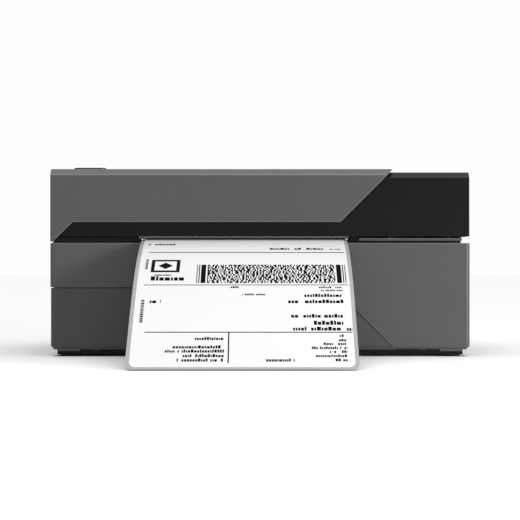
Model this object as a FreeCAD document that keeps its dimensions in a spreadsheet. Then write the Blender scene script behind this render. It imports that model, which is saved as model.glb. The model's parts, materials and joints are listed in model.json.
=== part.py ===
import FreeCAD, Part
import math
import os
import re

import Sketcher

# Desktop direct-thermal label printer for 4 inch wide fanfold labels.
# Millimetres. X points right, Y to the back, Z up.
# The origin is on the table under the centre of the case.

DIMENSIONS = {
    # lower case
    "case_wide": 215.0,
    "case_deep": 106.0,
    "case_wall": 3.0,
    "case_corner": 2.0,
    "base_low": 3.6,
    "base_top": 58.15,
    "base_back_top": 56.4,
    "seam_height": 35.5,
    "seam_turn": 37.5,
    "seam_gap": 0.4,
    "panel_inset": 0.25,
    "panel_thick": 1.5,
    "cover_low": 1.0,
    "cover_top": 3.5,
    "foot_across": 98.0,
    "foot_along": 44.0,
    "foot_radius": 5.4,
    "foot_tall": 2.65,
    "boss_across": 84.0,
    "boss_along": 46.8,
    "boss_radius": 3.5,
    "rim_top": 8.2,
    "cover_across": 104.1,
    "cover_along": 49.6,
    "cover_rim": 1.5,
    "tap_radius": 1.25,
    "screw_head": 2.6,
    "case_screw_head": 2.4,
    "rim_tall": 0.6,
    "vent_first": -52.0,
    "vent_pitch": 6.0,
    "vent_wide": 2.4,
    "vent_front": -38.0,
    "vent_back": -10.0,
    "self_tap": 1.4,
    # lid
    "lid_low": 61.5,
    "lid_top": 94.55,
    "lid_wall": 2.0,
    "lid_bevel": 3.0,
    "skin_thick": 1.6,
    "skin_gap": 0.05,
    "skin_low": 58.9,
    "skin_step": 68.9,
    "skin_turn_left": -96.0,
    "skin_turn_right": 41.1,
    "hinge_along": 49.3,
    "hinge_height": 60.0,
    "hinge_radius": 3.4,
    "hinge_pin": 1.5,
    "hinge_fit": 0.06,
    "hinge_across": 90.0,
    "hinge_shift": 8.0,
    "knuckle_half": 3.0,
    "lid_knuckle_half": 4.7,
    "bracket_web": 46.2,
    "inner_low": 64.0,
    "inner_thick": 1.6,
    # media path
    "path_centre": -8.0,
    "slot_left": -70.6,
    "slot_right": 50.6,
    "left_wall_out": -73.0,
    "left_wall_in": -71.0,
    "right_wall_in": 50.9,
    "right_wall_out": 52.3,
    "skirt_in": 101.2,
    "skirt_out": 103.2,
    "cheek_left": -62.8,
    "cheek_right": 46.2,
    "deck_top": 58.0,
    "deck_thick": 2.0,
    "deck_low": 50.0,
    "deck_half": 49.5,
    "deck_back": 45.4,
    "deck_front": -31.0,
    "rib_pitch": 17.0,
    "feed_notch_top": 63.7,
    "lip_low": 58.3,
    "lip_top": 61.1,
    "strip_low": 59.4,
    "strip_top": 60.7,
    "cheek_front": -49.2,
    "cheek_back": -47.4,
    "cheek_top": 62.6,
    "sill_left": -61.1,
    "sill_right": 45.1,
    "sill_top": 60.4,
    "liner_wide": 105.2,
    "label_wide": 101.6,
    "paper_thick": 0.1,
    "paper_height": 60.2,
    "paper_back": 4.0,
    "label_back": -7.6,
    "label_margin": 1.4,
    "bend_first": 18.0,
    "bend_second": 40.0,
    "bend_last": 42.5,
    "curve_first": 68.0,
    "curve_second": 140.0,
    "curve_last": 1060.0,
    # platen and its drive
    "platen_along": -40.0,
    "platen_height": 53.0,
    "platen_radius": 7.0,
    "platen_half": 54.0,
    "shaft_radius": 3.0,
    "bush_radius": 4.0,
    "running_fit": 0.05,
    "plate_thick": 1.5,
    "gear_plate_at": 52.7,
    "side_plate_at": -68.0,
    "gear_module": 0.8,
    "gear_wide": 5.0,
    "gear_at": 55.0,
    "platen_teeth": 18.0,
    "idler_teeth": 30.0,
    "pinion_teeth": 10.0,
    "idler_direction": -55.0,
    "pinion_direction": -25.0,
    "backlash": 0.36,
    "motor_wide": 35.2,
    "motor_long": 28.0,
    "motor_bolts": 26.0,
    "motor_boss": 6.0,
    "motor_axle": 2.0,
    "motor_screw": 1.5,
    "motor_sink": 3.0,
    "motor_thread": 5.0,
    "chassis_screw": 1.3,
    "chassis_head": 2.4,
    "idler_axle": 2.0,
    "stub_radius": 2.0,
    "stub_screw": 1.2,
    "stub_low": 52.2,
    "stub_top": 57.0,
    "plate_half": 7.0,
    # media guides
    "guide_half": 53.2,
    "guide_thick": 2.0,
    "guide_in": 27.0,
    "guide_out": 3.2,
    "guide_along": 27.0,
    "rack_low": 53.0,
    "rack_top": 55.6,
    # print head
    "head_front": -46.5,
    "head_back": -24.0,
    "head_low": 60.6,
    "head_board": 1.0,
    "head_sink": 4.4,
    "head_half": 56.0,
    "head_pivot_along": -26.0,
    "head_pivot_height": 68.0,
    "head_pin": 1.5,
    "ear_front": -30.0,
    "ear_back": -22.0,
    "bracket_low": 76.0,
    "bracket_thick": 1.2,
    "bracket_left": -70.0,
    "bracket_right": 54.0,
    "spring_radius": 2.9,
    "spring_wire": 0.8,
    "spring_turns": 5.0,
    "spring_spread": 36.0,
    "tear_low": 60.65,
    "tear_pitch": 1.2,
    "tear_thick": 0.8,
    "tear_top": 69.0,
    "tear_tooth": 0.9,
    # latch
    "latch_along": -8.0,
    "latch_height": 72.0,
    "latch_radius": 2.0,
    "latch_coil": 2.9,
    "latch_wire": 0.7,
    "latch_turns": 7.0,
    "latch_coil_long": 8.0,
    "hook_across": 88.0,
    "hook_thick": 3.0,
    "hook_low": 55.4,
    "hook_room_front": 8.0,
    "hook_room_back": 6.0,
    # feed button
    "button_across": -88.5,
    "button_along": -39.0,
    "button_long": 16.5,
    "button_wide": 6.0,
    "button_proud": 1.2,
    "button_flange_half": 9.5,
    "button_board_left": -102.7,
    "button_board_right": -74.3,
    "button_board_front": -45.0,
    "button_board_back": -33.0,
    "button_board_low": 84.0,
    "button_board_top": 85.6,
    # electronics
    "board_low": 8.6,
    "board_thick": 1.6,
    "usb_across": -20.0,
    "inlet_across": -50.0,
    "rocker_across": 69.5,
    "rocker_height": 22.0,
    "rocker_tilt": 8.0,
    "rocker_along": 48.7,
    "cable_radius": 1.6,
    "socket_low": 10.0,
    "socket_top": 21.2,
    "socket_face": 52.5,
    "usb_half": 6.0,
    "inlet_half": 4.5,
    "jack_bore": 3.15,
    "jack_pin": 1.0,
    "jack_height": 16.0,
    "switch_half": 9.0,
    "switch_high": 6.0,
    "bezel_half": 10.5,
    "bezel_high": 7.5,
    "well_half": 7.5,
    "well_high": 4.5,
}

doc = FreeCAD.newDocument("label_printer")
sheet = doc.addObject("Spreadsheet::Sheet", "dims")
for row, (alias, value) in enumerate(DIMENSIONS.items(), start=1):
    sheet.set(f"A{row}", alias)
    sheet.set(f"B{row}", str(value))
    sheet.setAlias(f"B{row}", alias)
doc.recompute()

VECTOR = FreeCAD.Vector
X_AXIS = VECTOR(1, 0, 0)
Y_AXIS = VECTOR(0, 1, 0)
Z_AXIS = VECTOR(0, 0, 1)

# Faces of the case that most pieces are placed from, as expressions on the sheet.
LEFT = "-case_wide / 2"
RIGHT = "case_wide / 2"
FRONT = "-case_deep / 2"
BACK = "case_deep / 2"
LID_LEFT = f"{LEFT} + 0.1 + skin_thick"
LID_RIGHT = f"{RIGHT} - 0.1"
LID_FRONT = f"{FRONT} + skin_thick"

# Axes that several pieces share, as their two fixed coordinates.
HINGE = ("hinge_along", "hinge_height")
PLATEN = ("platen_along", "platen_height")
LATCH = ("latch_along", "latch_height")
HEAD_PIVOT = ("head_pivot_along", "head_pivot_height")

nodes = []


# Expressions, numbers and basic solids

def around(centre, half):
    """The two ends of a span about a centre."""
    return (f"{centre} - ({half})", f"{centre} + ({half})")


def bound(text):
    """The same expression with each dimension read from the sheet."""
    return re.sub(r"[a-z]+(_[a-z]+)+|backlash", lambda word: "dims." + word.group(0), str(text))


def number(text):
    return float(sheet.evalExpression(bound(text)))


def bind(item, **properties):
    for name, text in properties.items():
        item.setExpression(name.replace("__", "."), bound(text))


def put(item, x=0, y=0, z=0):
    bind(item, Placement__Base__x=x, Placement__Base__y=y, Placement__Base__z=z)
    return item


def block(name, x, y, z):
    """A box between two expressions along each axis."""
    item = doc.addObject("Part::Box", name)
    bind(item, Length=f"({x[1]}) - ({x[0]})", Width=f"({y[1]}) - ({y[0]})", Height=f"({z[1]}) - ({z[0]})")
    return put(item, x[0], y[0], z[0])


TURNS = {"X": (Y_AXIS, 90), "Y": (X_AXIS, -90), "Z": (Z_AXIS, 0)}


def along_axis(axis, centre, start):
    """The three coordinates of a point on an axis, from its two centre coordinates."""
    one, two = centre
    return {"X": (start, one, two), "Y": (one, start, two), "Z": (one, two, start)}[axis]


def rod(name, axis, centre, span, radius):
    """A cylinder along X, Y or Z; the centre gives the two other coordinates, in X, Y, Z order."""
    item = doc.addObject("Part::Cylinder", name)
    item.Placement = FreeCAD.Placement(VECTOR(), FreeCAD.Rotation(*TURNS[axis]))
    bind(item, Radius=radius, Height=f"({span[1]}) - ({span[0]})")
    return put(item, *along_axis(axis, centre, span[0]))


def cone(name, axis, centre, span, radii):
    item = doc.addObject("Part::Cone", name)
    item.Placement = FreeCAD.Placement(VECTOR(), FreeCAD.Rotation(*TURNS[axis]))
    bind(item, Radius1=radii[0], Radius2=radii[1], Height=f"({span[1]}) - ({span[0]})")
    return put(item, *along_axis(axis, centre, span[0]))


def outline_sketch(body, name, plane, points, offset):
    """A closed sketch whose corners are held at expressions from the body's origin."""
    sketch = body.newObject("Sketcher::SketchObject", name)
    role = plane + "_Plane"
    sketch.AttachmentSupport = [(next(f for f in body.Origin.OriginFeatures if f.Role == role), "")]
    sketch.MapMode = "FlatFace"
    sketch.setExpression("AttachmentOffset.Base.z", bound(offset))
    corners = [VECTOR(number(one), number(two), 0) for one, two in points]
    for index, corner in enumerate(corners):
        following = corners[(index + 1) % len(corners)]
        sketch.addGeometry(Part.LineSegment(corner, following), False)
    for index, (one, two) in enumerate(points):
        sketch.addConstraint(Sketcher.Constraint("Coincident", index, 2, (index + 1) % len(points), 1))
        for kind, text, value in (("DistanceX", one, corners[index].x), ("DistanceY", two, corners[index].y)):
            held = sketch.addConstraint(Sketcher.Constraint(kind, -1, 1, index, 1, value))
            sketch.setExpression(f"Constraints[{held}]", bound(text))
    return sketch


def prism(name, plane, points, span):
    """An outline in the XY, XZ or YZ plane, padded between two expressions across that plane."""
    body = doc.addObject("PartDesign::Body", name)
    start = f"-({span[1]})" if plane == "XZ" else span[0]
    pad = body.newObject("PartDesign::Pad", name + "_pad")
    pad.Profile = outline_sketch(body, name + "_outline", plane, points, start)
    bind(pad, Length=f"({span[1]}) - ({span[0]})")
    return body


def joined(kind, name, pieces):
    item = doc.addObject(kind, name)
    if kind == "Part::Compound":
        item.Links = pieces
    else:
        item.Shapes = pieces
        item.Refine = True
    return item


def fuse(name, *pieces):
    return joined("Part::MultiFuse", name, list(pieces))


def bundle(name, pieces):
    """Separate solids kept in one piece, such as a set of screws."""
    return joined("Part::Compound", name, list(pieces))


def cut(name, base, *tools):
    item = doc.addObject("Part::Cut", name)
    item.Base = base
    item.Tool = tools[0] if len(tools) == 1 else fuse(name + "_tools", *tools)
    item.Refine = True
    return item


def common(name, one, two):
    item = doc.addObject("Part::Common", name)
    item.Base = one
    item.Tool = two
    return item


def softened(kind, name, base, size, wanted):
    """Chamfer or fillet the edges of a piece that pass a test."""
    base.recompute(True)
    item = doc.addObject("Part::" + kind, name)
    item.Base = base
    chosen = [index for index, edge in enumerate(base.Shape.Edges, start=1) if wanted(edge)]
    item.Edges = [(index, number(size), number(size)) for index in chosen]
    return item


def upright(edge):
    box = edge.BoundBox
    return box.ZLength > 1 and box.XLength < 0.01 and box.YLength < 0.01


def at_height(height):
    level = number(height)
    return lambda edge: max(abs(edge.BoundBox.ZMin - level), abs(edge.BoundBox.ZMax - level)) < 0.01


def solid_feature(name, shape, axis=Z_AXIS, angle=0.0, x=0, y=0, z=0):
    """A piece shaped by a formula; it is placed after its shape is set."""
    item = doc.addObject("Part::Feature", name)
    item.Shape = shape
    item.Placement = FreeCAD.Placement(VECTOR(number(x), number(y), number(z)), FreeCAD.Rotation(axis, angle))
    return item


def node(label, item):
    """Name a finished piece of the printer."""
    item.Label = label
    nodes.append(item)
    return item


# Repeated hardware

def screw(name, axis, centre, head, shank, head_radius, shank_radius):
    """A pan-head screw: a head and a shank along one axis, each between two expressions."""
    return fuse(
        name,
        rod(name + "_head", axis, centre, head, head_radius),
        rod(name + "_shank", axis, centre, shank, shank_radius),
    )


def four_corners(across, along):
    return [(f"{sx} * {across}", f"{sy} * {along}") for sx in (-1, 1) for sy in (-1, 1)]


def coil(name, radius, wire, turns, tall, x, y, z, lying=False):
    """A helical spring standing on (x, y, z), or lying along X from there."""
    helix = Part.makeHelix(tall / turns, tall, radius)
    ring = Part.Wire([Part.makeCircle(wire / 2, VECTOR(radius, 0, 0), Y_AXIS)])
    shape = Part.Wire(helix.Edges).makePipeShell([ring], True, True)
    axis, angle = TURNS["X"] if lying else TURNS["Z"]
    return solid_feature(name, shape, axis, angle, x, y, z)


def gear(name, teeth, wide, bore, axis, angle, x, y, z):
    """A spur gear with straight-flanked teeth; a tooth points at the given angle round its axis."""
    module = number("gear_module")
    pitch_radius = module * number(teeth) / 2
    root = pitch_radius - 1.2 * module
    tip = pitch_radius + 0.9 * module
    half_pitch_tooth = (math.pi * module / 2 - number("backlash")) / 2
    slope = math.tan(math.radians(20))
    half_root = half_pitch_tooth + (pitch_radius - root) * slope
    half_tip = half_pitch_tooth - (tip - pitch_radius) * slope
    inner = root - 0.3
    corners = [(inner, -half_root), (root, -half_root), (tip, -half_tip)]
    corners += [(across, -side) for across, side in reversed(corners)]
    tooth = Part.Face(Part.makePolygon([VECTOR(a, b, 0) for a, b in corners + corners[:1]]))
    tooth = tooth.extrude(VECTOR(0, 0, number(wide)))
    count = int(number(teeth))
    turned = [tooth.rotated(VECTOR(), Z_AXIS, 360 * step / count) for step in range(count)]
    disc = Part.makeCylinder(root, number(wide))
    hole = Part.makeCylinder(number(bore), number(wide))
    shape = disc.multiFuse(turned).cut(hole).removeSplitter()
    spin = FreeCAD.Rotation(Z_AXIS, angle)
    lay = FreeCAD.Rotation(Y_AXIS, 90) * FreeCAD.Rotation(Z_AXIS, 90) if axis == "X" else FreeCAD.Rotation()
    whole = lay * spin
    return solid_feature(name, shape, whole.Axis, math.degrees(whole.Angle), x, y, z)


# Lower case

def case_outline(name, inset):
    """The lower case's outside, moved inwards by an inset."""
    body = block(
        name + "_block",
        (f"{LEFT} + {inset}", f"{RIGHT} - {inset}"),
        (f"{FRONT} + {inset}", f"{BACK} - {inset}"),
        ("base_low", "base_top"),
    )
    rounded = softened("Fillet", name + "_round", body, "case_corner", upright)
    return softened("Chamfer", name, rounded, "case_corner - 0.2", at_height("base_low"))


def seam_region(name, gap):
    """Everything below the front seam, as a prism through the case."""
    low = "base_low - 1"
    foot = f"seam_turn + seam_height - ({low}) - {gap} * sqrt(2)"
    points = [
        (f"{LEFT} - 1", low),
        (foot, low),
        (f"seam_turn + {gap} * (1 - sqrt(2))", f"seam_height - {gap}"),
        (f"{LEFT} - 1", f"seam_height - {gap}"),
    ]
    return prism(name, "XZ", points, (f"{FRONT} - 1", f"{BACK} + 1"))


def inner_mass(name, depth):
    """All of the case that lies deeper than a skin on its front and left side."""
    return block(
        name,
        (f"{LEFT} + {depth}", f"{RIGHT} + 5"),
        (f"{FRONT} + {depth}", f"{BACK} + 5"),
        ("0", "lid_low"),
    )


def make_base():
    skin = "panel_inset + panel_thick"
    recess = cut(
        "panel_recess",
        seam_region("recess_region", "0"),
        inner_mass("recess_mass", f"{skin} + 0.05"),
    )
    cavity = block(
        "case_cavity",
        (f"{LEFT} + case_wall", f"{RIGHT} - case_wall"),
        (f"{FRONT} + case_wall", f"{BACK} - case_wall"),
        ("0", "base_top + 1"),
    )
    behind = ("45", f"{BACK} + 1")
    sockets = ("socket_low", "socket_top + 0.3")
    tools = [
        recess,
        cavity,
        block(
            "rear_relief",
            (f"{LEFT} - 1", f"{RIGHT} + 1"),
            ("46.3", f"{BACK} + 1"),
            ("base_back_top", "lid_low"),
        ),
        block("usb_cutout", around("usb_across", "usb_half + 0.2"), behind, sockets),
        block("inlet_cutout", around("inlet_across", "inlet_half + 0.2"), behind, sockets),
        block(
            "rocker_cutout",
            around("rocker_across", "switch_half + 0.2"),
            behind,
            around("rocker_height", "switch_high + 0.2"),
        ),
    ]
    for side in (-1, 1):
        centre = f"{side} * hinge_across"
        tools.append(
            block(
                f"knuckle_notch_{side}",
                (f"{centre} - 11.4", f"{centre} + 11.4"),
                ("46", f"{BACK} + 1"),
                ("55.6", "62"),
            )
        )
    shell = cut("case_shell", case_outline("case_outline", "0"), *tools)
    additions = [shell]
    for index, (x, y) in enumerate(four_corners("boss_across", "boss_along")):
        additions.append(rod(f"cover_boss_{index}", "Z", (x, y), ("cover_top", "18"), "boss_radius"))
    for index, (x, y) in enumerate(four_corners("foot_across", "foot_along")):
        additions.append(
            block(
                f"foot_pad_{index}",
                (f"{x} - 5.6", f"{x} + 5.6"),
                (f"{y} - 6", f"{y} + 6"),
                ("foot_tall", "5"),
            )
        )
    for side in (-1, 1):
        wall = f"{side} * (case_wide / 2 - case_wall)"
        inner = f"{wall} - {side} * 4"
        low, high = (wall, inner) if side < 0 else (inner, wall)
        additions.append(block(f"ledge_{side}", (low, high), ("-22", "22"), ("46", "50")))
    additions.append(
        block(
            "left_rim",
            (f"{LEFT} + 0.9", f"{LEFT} + 2"),
            ("-deck_half", "44"),
            ("base_top - 0.5", "base_top + rim_tall"),
        )
    )
    holes = [
        rod(f"cover_screw_hole_{index}", "Z", (x, y), ("2", "15"), "self_tap")
        for index, (x, y) in enumerate(four_corners("boss_across", "boss_along"))
    ]
    node("base_shell", cut("base_shell", fuse("case_body", *additions), *holes))

    panel = common(
        "panel_slab",
        seam_region("panel_region", "seam_gap"),
        case_outline("panel_outline", "panel_inset"),
    )
    node("front_lower_panel", cut("front_lower_panel", panel, inner_mass("panel_mass", skin)))


def hinge_bore(name, radius):
    return rod(name, "X", HINGE, ("-105", "105"), radius)


def make_hinge():
    """Two brackets inside the back wall, each with two knuckles, and the pins through them."""
    inside = f"{BACK} - case_wall"
    brackets = []
    pins = []
    for side in (-1, 1):
        middle = f"{side} * hinge_across"
        reach = "hinge_shift + knuckle_half"
        pins.append(
            rod(
                f"hinge_pin_{side}",
                "X",
                HINGE,
                (f"{middle} - ({reach})", f"{middle} + {reach}"),
                "hinge_pin",
            )
        )
        pieces = [
            block(f"bracket_plate_{side}", (f"{middle} - ({reach})", f"{middle} + {reach}"),
                  ("bracket_web", inside), ("deck_low", "hinge_height - 5")),
        ]
        for shift in (-1, 1):
            centre = f"{middle} + {shift} * hinge_shift"
            span = (f"{centre} - knuckle_half", f"{centre} + knuckle_half")
            pieces.append(rod(f"case_knuckle_{side}_{shift}", "X", HINGE, span, "hinge_radius"))
            pieces.append(
                block(
                    f"case_web_{side}_{shift}",
                    span,
                    ("bracket_web", inside),
                    ("deck_low", "hinge_height"),
                )
            )
        brackets.append(cut(f"hinge_bracket_{side}", fuse(f"hinge_body_{side}", *pieces),
                            hinge_bore(f"hinge_bore_{side}", "hinge_pin")))
    node("hinge_brackets", bundle("hinge_brackets", brackets))
    node("hinge_pins", bundle("hinge_pins", pins))


def make_bottom():
    wide = ("-cover_across", "cover_across")
    deep = ("-cover_along", "cover_along")
    plate = block("cover_plate", wide, deep, ("cover_low", "cover_top"))
    hollow = block(
        "rim_hollow",
        ("cover_rim - cover_across", "cover_across - cover_rim"),
        ("cover_rim - cover_along", "cover_along - cover_rim"),
        ("0", "rim_top + 2"),
    )
    rim = cut("cover_rim", block("rim_block", wide, deep, ("cover_low", "rim_top")), hollow)
    posts = [
        rod(f"board_post_{index}", "Z", (x, y), ("cover_top - 1", "board_low"), "3")
        for index, (x, y) in enumerate(board_corners())
    ]
    tools = []
    for index, (x, y) in enumerate(four_corners("foot_across", "foot_along")):
        tools.append(
            block(f"pad_notch_{index}", (f"{x} - 5.8", f"{x} + 5.8"), (f"{y} - 6.2", f"{y} + 6.2"),
                  ("foot_tall - 0.02", "rim_top + 2"))
        )
    for index, (x, y) in enumerate(four_corners("boss_across", "boss_along")):
        tools.append(rod(f"head_pocket_{index}", "Z", (x, y), ("0", "2.4"), "case_screw_head + 0.2"))
        tools.append(rod(f"cover_hole_{index}", "Z", (x, y), ("2", "4"), "self_tap"))
        tools.append(rod(f"boss_notch_{index}", "Z", (x, y), ("cover_top", "10"), "3.8"))
    for index, (x, y) in enumerate(board_corners()):
        tools.append(rod(f"post_hole_{index}", "Z", (x, y), ("4.5", "9"), "tap_radius"))
    for index, (x, y) in enumerate(plate_feet()):
        tools.append(rod(f"plate_hole_{index}", "Z", (x, y), ("1.6", "6"), "chassis_screw"))
    for row in range(9):
        x = f"vent_first + {row} * vent_pitch"
        tools.append(block(f"vent_{row}", (x, f"{x} + vent_wide"), ("vent_front", "vent_back"), ("0", "5")))
    for index, (x, y) in enumerate(four_corners("foot_across", "foot_along")):
        tools.append(rod(f"foot_pocket_{index}", "Z", (x, y), ("0", "foot_tall"), "foot_radius"))
    node("bottom_cover", cut("bottom_cover", fuse("cover_body", plate, rim, *posts), *tools))

    feet = [
        softened(
            "Chamfer",
            f"foot_{index}",
            rod(f"foot_disc_{index}", "Z", (x, y), ("0", "foot_tall"), "foot_radius - 0.1"),
            "0.5",
            at_height("0"),
        )
        for index, (x, y) in enumerate(four_corners("foot_across", "foot_along"))
    ]
    node("rubber_feet", bundle("rubber_feet", feet))
    screws = [
        screw(
            f"case_screw_{index}",
            "Z",
            (x, y),
            ("1.1", "2.4"),
            ("2.4", "14"),
            "case_screw_head",
            "self_tap",
        )
        for index, (x, y) in enumerate(four_corners("boss_across", "boss_along"))
    ]
    node("case_screws", bundle("case_screws", screws))


# Media deck and the steel plates that carry the platen

def hook_slot(name, side):
    centre = f"{side} * hook_across"
    return block(
        name,
        (f"{centre} - 3", f"{centre} + 3"),
        ("latch_along - 9", "latch_along + 4.95"),
        ("58", "62"),
    )


HOOK_ROOM = ("latch_along - hook_room_front", "latch_along + hook_room_back")


def make_deck():
    floor = ("deck_top - deck_thick", "deck_top")
    whole = ("-deck_half", "deck_half")
    walls = [
        block(
            "left_lip",
            (f"{LEFT} + 2.1", "left_wall_in"),
            (f"{LID_FRONT} + 0.3", "deck_back"),
            ("lip_low", "lip_top"),
        ),
        block("left_wall", ("left_wall_out", "left_wall_in"), whole, ("deck_low", "lip_top")),
        block(
            "left_skirt",
            ("-skirt_out - 1", "-skirt_in - 1"),
            ("-deck_half", "deck_back"),
            ("deck_low", "lip_low + 1"),
        ),
        block("floor", ("left_wall_in - 1", "right_wall_in + 0.6"), ("deck_front", "deck_half"), floor),
        block("right_wall", ("right_wall_in", "right_wall_out"), whole, ("deck_low", "strip_low")),
        block("right_skirt", ("skirt_in", "skirt_out"), whole, ("deck_low", "strip_low")),
        block(
            "right_front",
            ("right_wall_in + 0.6", "skirt_in + 0.8"),
            ("-49.9", "-48.6"),
            ("deck_low", "strip_low"),
        ),
        block(
            "right_back",
            ("right_wall_in + 0.6", "skirt_in + 0.8"),
            ("43.8", "deck_back"),
            ("deck_low", "strip_low"),
        ),
        block(
            "left_front",
            ("-skirt_in - 1.8", "left_wall_in - 1"),
            ("-49.9", "-48.4"),
            ("deck_low", "lip_low + 1"),
        ),
    ]
    for name, across, top in (
        ("left_cheek", ("left_wall_in - 1", "cheek_left"), "cheek_top"),
        ("left_sill", ("left_wall_in - 1", "sill_left"), "sill_top"),
        ("right_cheek", ("cheek_right", "slot_right"), "cheek_top"),
        ("right_sill", ("sill_right", "slot_right"), "sill_top"),
        ("right_foot", ("sill_right", "right_wall_in + 0.6"), "strip_low"),
    ):
        walls.append(block(name, across, ("cheek_front", "cheek_back"), ("deck_low", top)))
    walls.append(
        rod("pinion_stub", "Z", ("path_centre", "guide_along"), ("stub_low", "stub_top"), "stub_radius")
    )
    for name, y in (("front", "guide_along - 11"), ("back", "guide_along + 10")):
        walls.append(block(f"{name}_rack_rail", ("-60", "44"), (y, f"{y} + 1"), ("rack_low", "stub_top")))
    tools = [hook_slot("left_hook_slot", -1)]
    tools.append(
        block("sensor_pocket", ("path_centre - 6.3", "path_centre + 6.3"), ("-29.3", "-20.7"), ("53", "61"))
    )
    tools.append(
        block(
            "bush_slot",
            ("right_wall_in - 1", "right_wall_out + 1"),
            ("platen_along - 5.8", "platen_along + 5.8"),
            ("deck_low - 1", "strip_low + 1"),
        )
    )
    reach = "guide_half + guide_thick + guide_out + 0.4"
    near = "guide_half - guide_in - 0.4"
    for name, low, high in (
        ("left", f"path_centre - ({reach})", f"path_centre - ({near})"),
        ("right", f"path_centre + {near}", f"path_centre + {reach}"),
    ):
        y = "guide_along - 9.9" if name == "left" else "guide_along + 4.1"
        tools.append(block(f"{name}_guide_slot", (low, high), (y, f"{y} + 5.8"), ("54", "deck_top + 0.5")))
    tools.append(
        block("hinge_room_left", ("-102", "-78"), ("deck_back", "deck_half + 1"), ("deck_low", "59"))
    )
    tools.append(block("hinge_room_right", ("78", "104"), ("deck_back", "deck_half + 1"), ("deck_low", "59")))
    tools.append(block("tab_room", ("84", "104"), HOOK_ROOM, ("57.5", "60")))
    tools.append(rod("stub_hole", "Z", ("path_centre", "guide_along"), ("52", "57.2"), "stub_screw"))
    tools.append(block("wall_relief", ("-74", "-70"), ("deck_back", "deck_half + 1"), ("deck_top", "62")))
    node("media_deck", cut("media_deck", fuse("deck_body", *walls), *tools))
    ribs = []
    for step in range(6):
        x = f"path_centre + ({step} - 2.5) * rib_pitch"
        ribs.append(block(f"paper_rib_{step}", (f"{x} - 0.6", f"{x} + 0.6"), ("deck_front", "5"),
                          ("deck_top", "paper_height - 0.1")))
    node("paper_ribs", bundle("paper_ribs", ribs))

    strip = block(
        "strip_plate",
        ("right_wall_in", "skirt_out + 0.5"),
        (f"{FRONT} + 2.5", "deck_back"),
        ("strip_low", "strip_top"),
    )
    gear_window = block(
        "gear_window",
        ("gear_at - 1", "gear_at + gear_wide + 1.5"),
        ("-48.8", "-31"),
        ("59", "61"),
    )
    rim = block(
        "strip_rim",
        ("skirt_out - 0.7", "skirt_out + 0.5"),
        ("-49", "deck_back"),
        ("strip_low", "cheek_top"),
    )
    tab_window = block("tab_window", ("84.5", "105"), HOOK_ROOM, ("59", "cheek_top + 1"))
    plate = fuse("strip_body", strip, rim)
    node(
        "right_deck_cover",
        cut("right_deck_cover", plate, gear_window, tab_window, hook_slot("right_hook_slot", 1)),
    )

    sensor = block(
        "sensor_body",
        ("path_centre - 6", "path_centre + 6"),
        ("-29", "-21"),
        ("54", "paper_height - 0.2"),
    )
    window = block("sensor_window", ("path_centre - 1.5", "path_centre + 1.5"), ("-26", "-24"), ("59", "61"))
    node("media_sensor", cut("media_sensor", sensor, window))


def plate_feet():
    """Where the two bearing plates are screwed to the bottom cover."""
    left = "side_plate_at + plate_thick + 5"
    right = "gear_plate_at - 5"
    return [(left, "-43"), (left, "-37"), (right, "-40"), (right, "-34")]


def make_plates():
    top = "platen_height + 5.6"
    front, back = around("platen_along", "plate_half")
    left = prism(
        "side_plate_web", "YZ",
        [(front, "cover_top"), (back, "cover_top"), (back, top), (front, top)],
        ("side_plate_at", "side_plate_at + plate_thick"),
    )
    left_foot = block("side_plate_foot", ("side_plate_at", "side_plate_at + 10"), (front, back),
                      ("cover_top", "cover_top + plate_thick"))
    holes = [rod("left_bush_hole", "X", PLATEN, ("-70", "-60"), "bush_radius")]
    holes += [
        rod(f"left_foot_hole_{i}", "Z", spot, ("3", "6"), "chassis_screw")
        for i, spot in enumerate(plate_feet()[:2])
    ]
    node("side_plate", cut("side_plate", fuse("side_plate_body", left, left_foot), *holes))

    reach = "platen_along + 45"
    right = prism(
        "gear_plate_web", "YZ",
        [(front, "cover_top"), (reach, "cover_top"), (reach, "platen_height - 5"),
         (f"{back} + 5", "platen_height - 5"), (back, "platen_height"), (back, top), (front, top)],
        ("gear_plate_at", "gear_plate_at + plate_thick"),
    )
    right_foot = block("gear_plate_foot", ("gear_plate_at - 9", "gear_plate_at + plate_thick"),
                       (front, f"{back} + 3"), ("cover_top", "cover_top + plate_thick"))
    idler_y, idler_z = idler_centre()
    motor_y, motor_z = motor_centre()
    holes = [
        rod("right_bush_hole", "X", PLATEN, ("50", "60"), "bush_radius"),
        rod("idler_axle_hole", "X", (idler_y, idler_z), ("50", "60"), "idler_axle"),
        rod("motor_boss_hole", "X", (motor_y, motor_z), ("50", "60"), "motor_boss"),
    ]
    holes += [
        cone(
            f"motor_sink_{i}",
            "X",
            spot,
            ("gear_plate_at", "gear_plate_at + plate_thick"),
            ("motor_screw", "motor_sink"),
        )
        for i, spot in enumerate(motor_bolt_spots())
    ]
    holes += [
        rod(f"right_foot_hole_{i}", "Z", spot, ("3", "6"), "chassis_screw")
        for i, spot in enumerate(plate_feet()[2:])
    ]
    node("gear_plate", cut("gear_plate", fuse("gear_plate_body", right, right_foot), *holes))
    screws = [
        screw(f"chassis_screw_{i}", "Z", spot, ("cover_top + plate_thick", "cover_top + plate_thick + 1.6"),
              ("1.7", "cover_top + plate_thick"), "chassis_head", "chassis_screw")
        for i, spot in enumerate(plate_feet())
    ]
    node("chassis_screws", bundle("chassis_screws", screws))


# Platen roller and gear train

def idler_centre():
    """The idler gear's axis, one centre distance from the platen's."""
    distance = "gear_module * (platen_teeth + idler_teeth) / 2"
    return (f"platen_along + {distance} * cos(idler_direction * 1 deg)",
            f"platen_height + {distance} * sin(idler_direction * 1 deg)")


def motor_centre():
    distance = "gear_module * (idler_teeth + pinion_teeth) / 2"
    y, z = idler_centre()
    return (
        f"{y} + {distance} * cos(pinion_direction * 1 deg)",
        f"{z} + {distance} * sin(pinion_direction * 1 deg)",
    )


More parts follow.
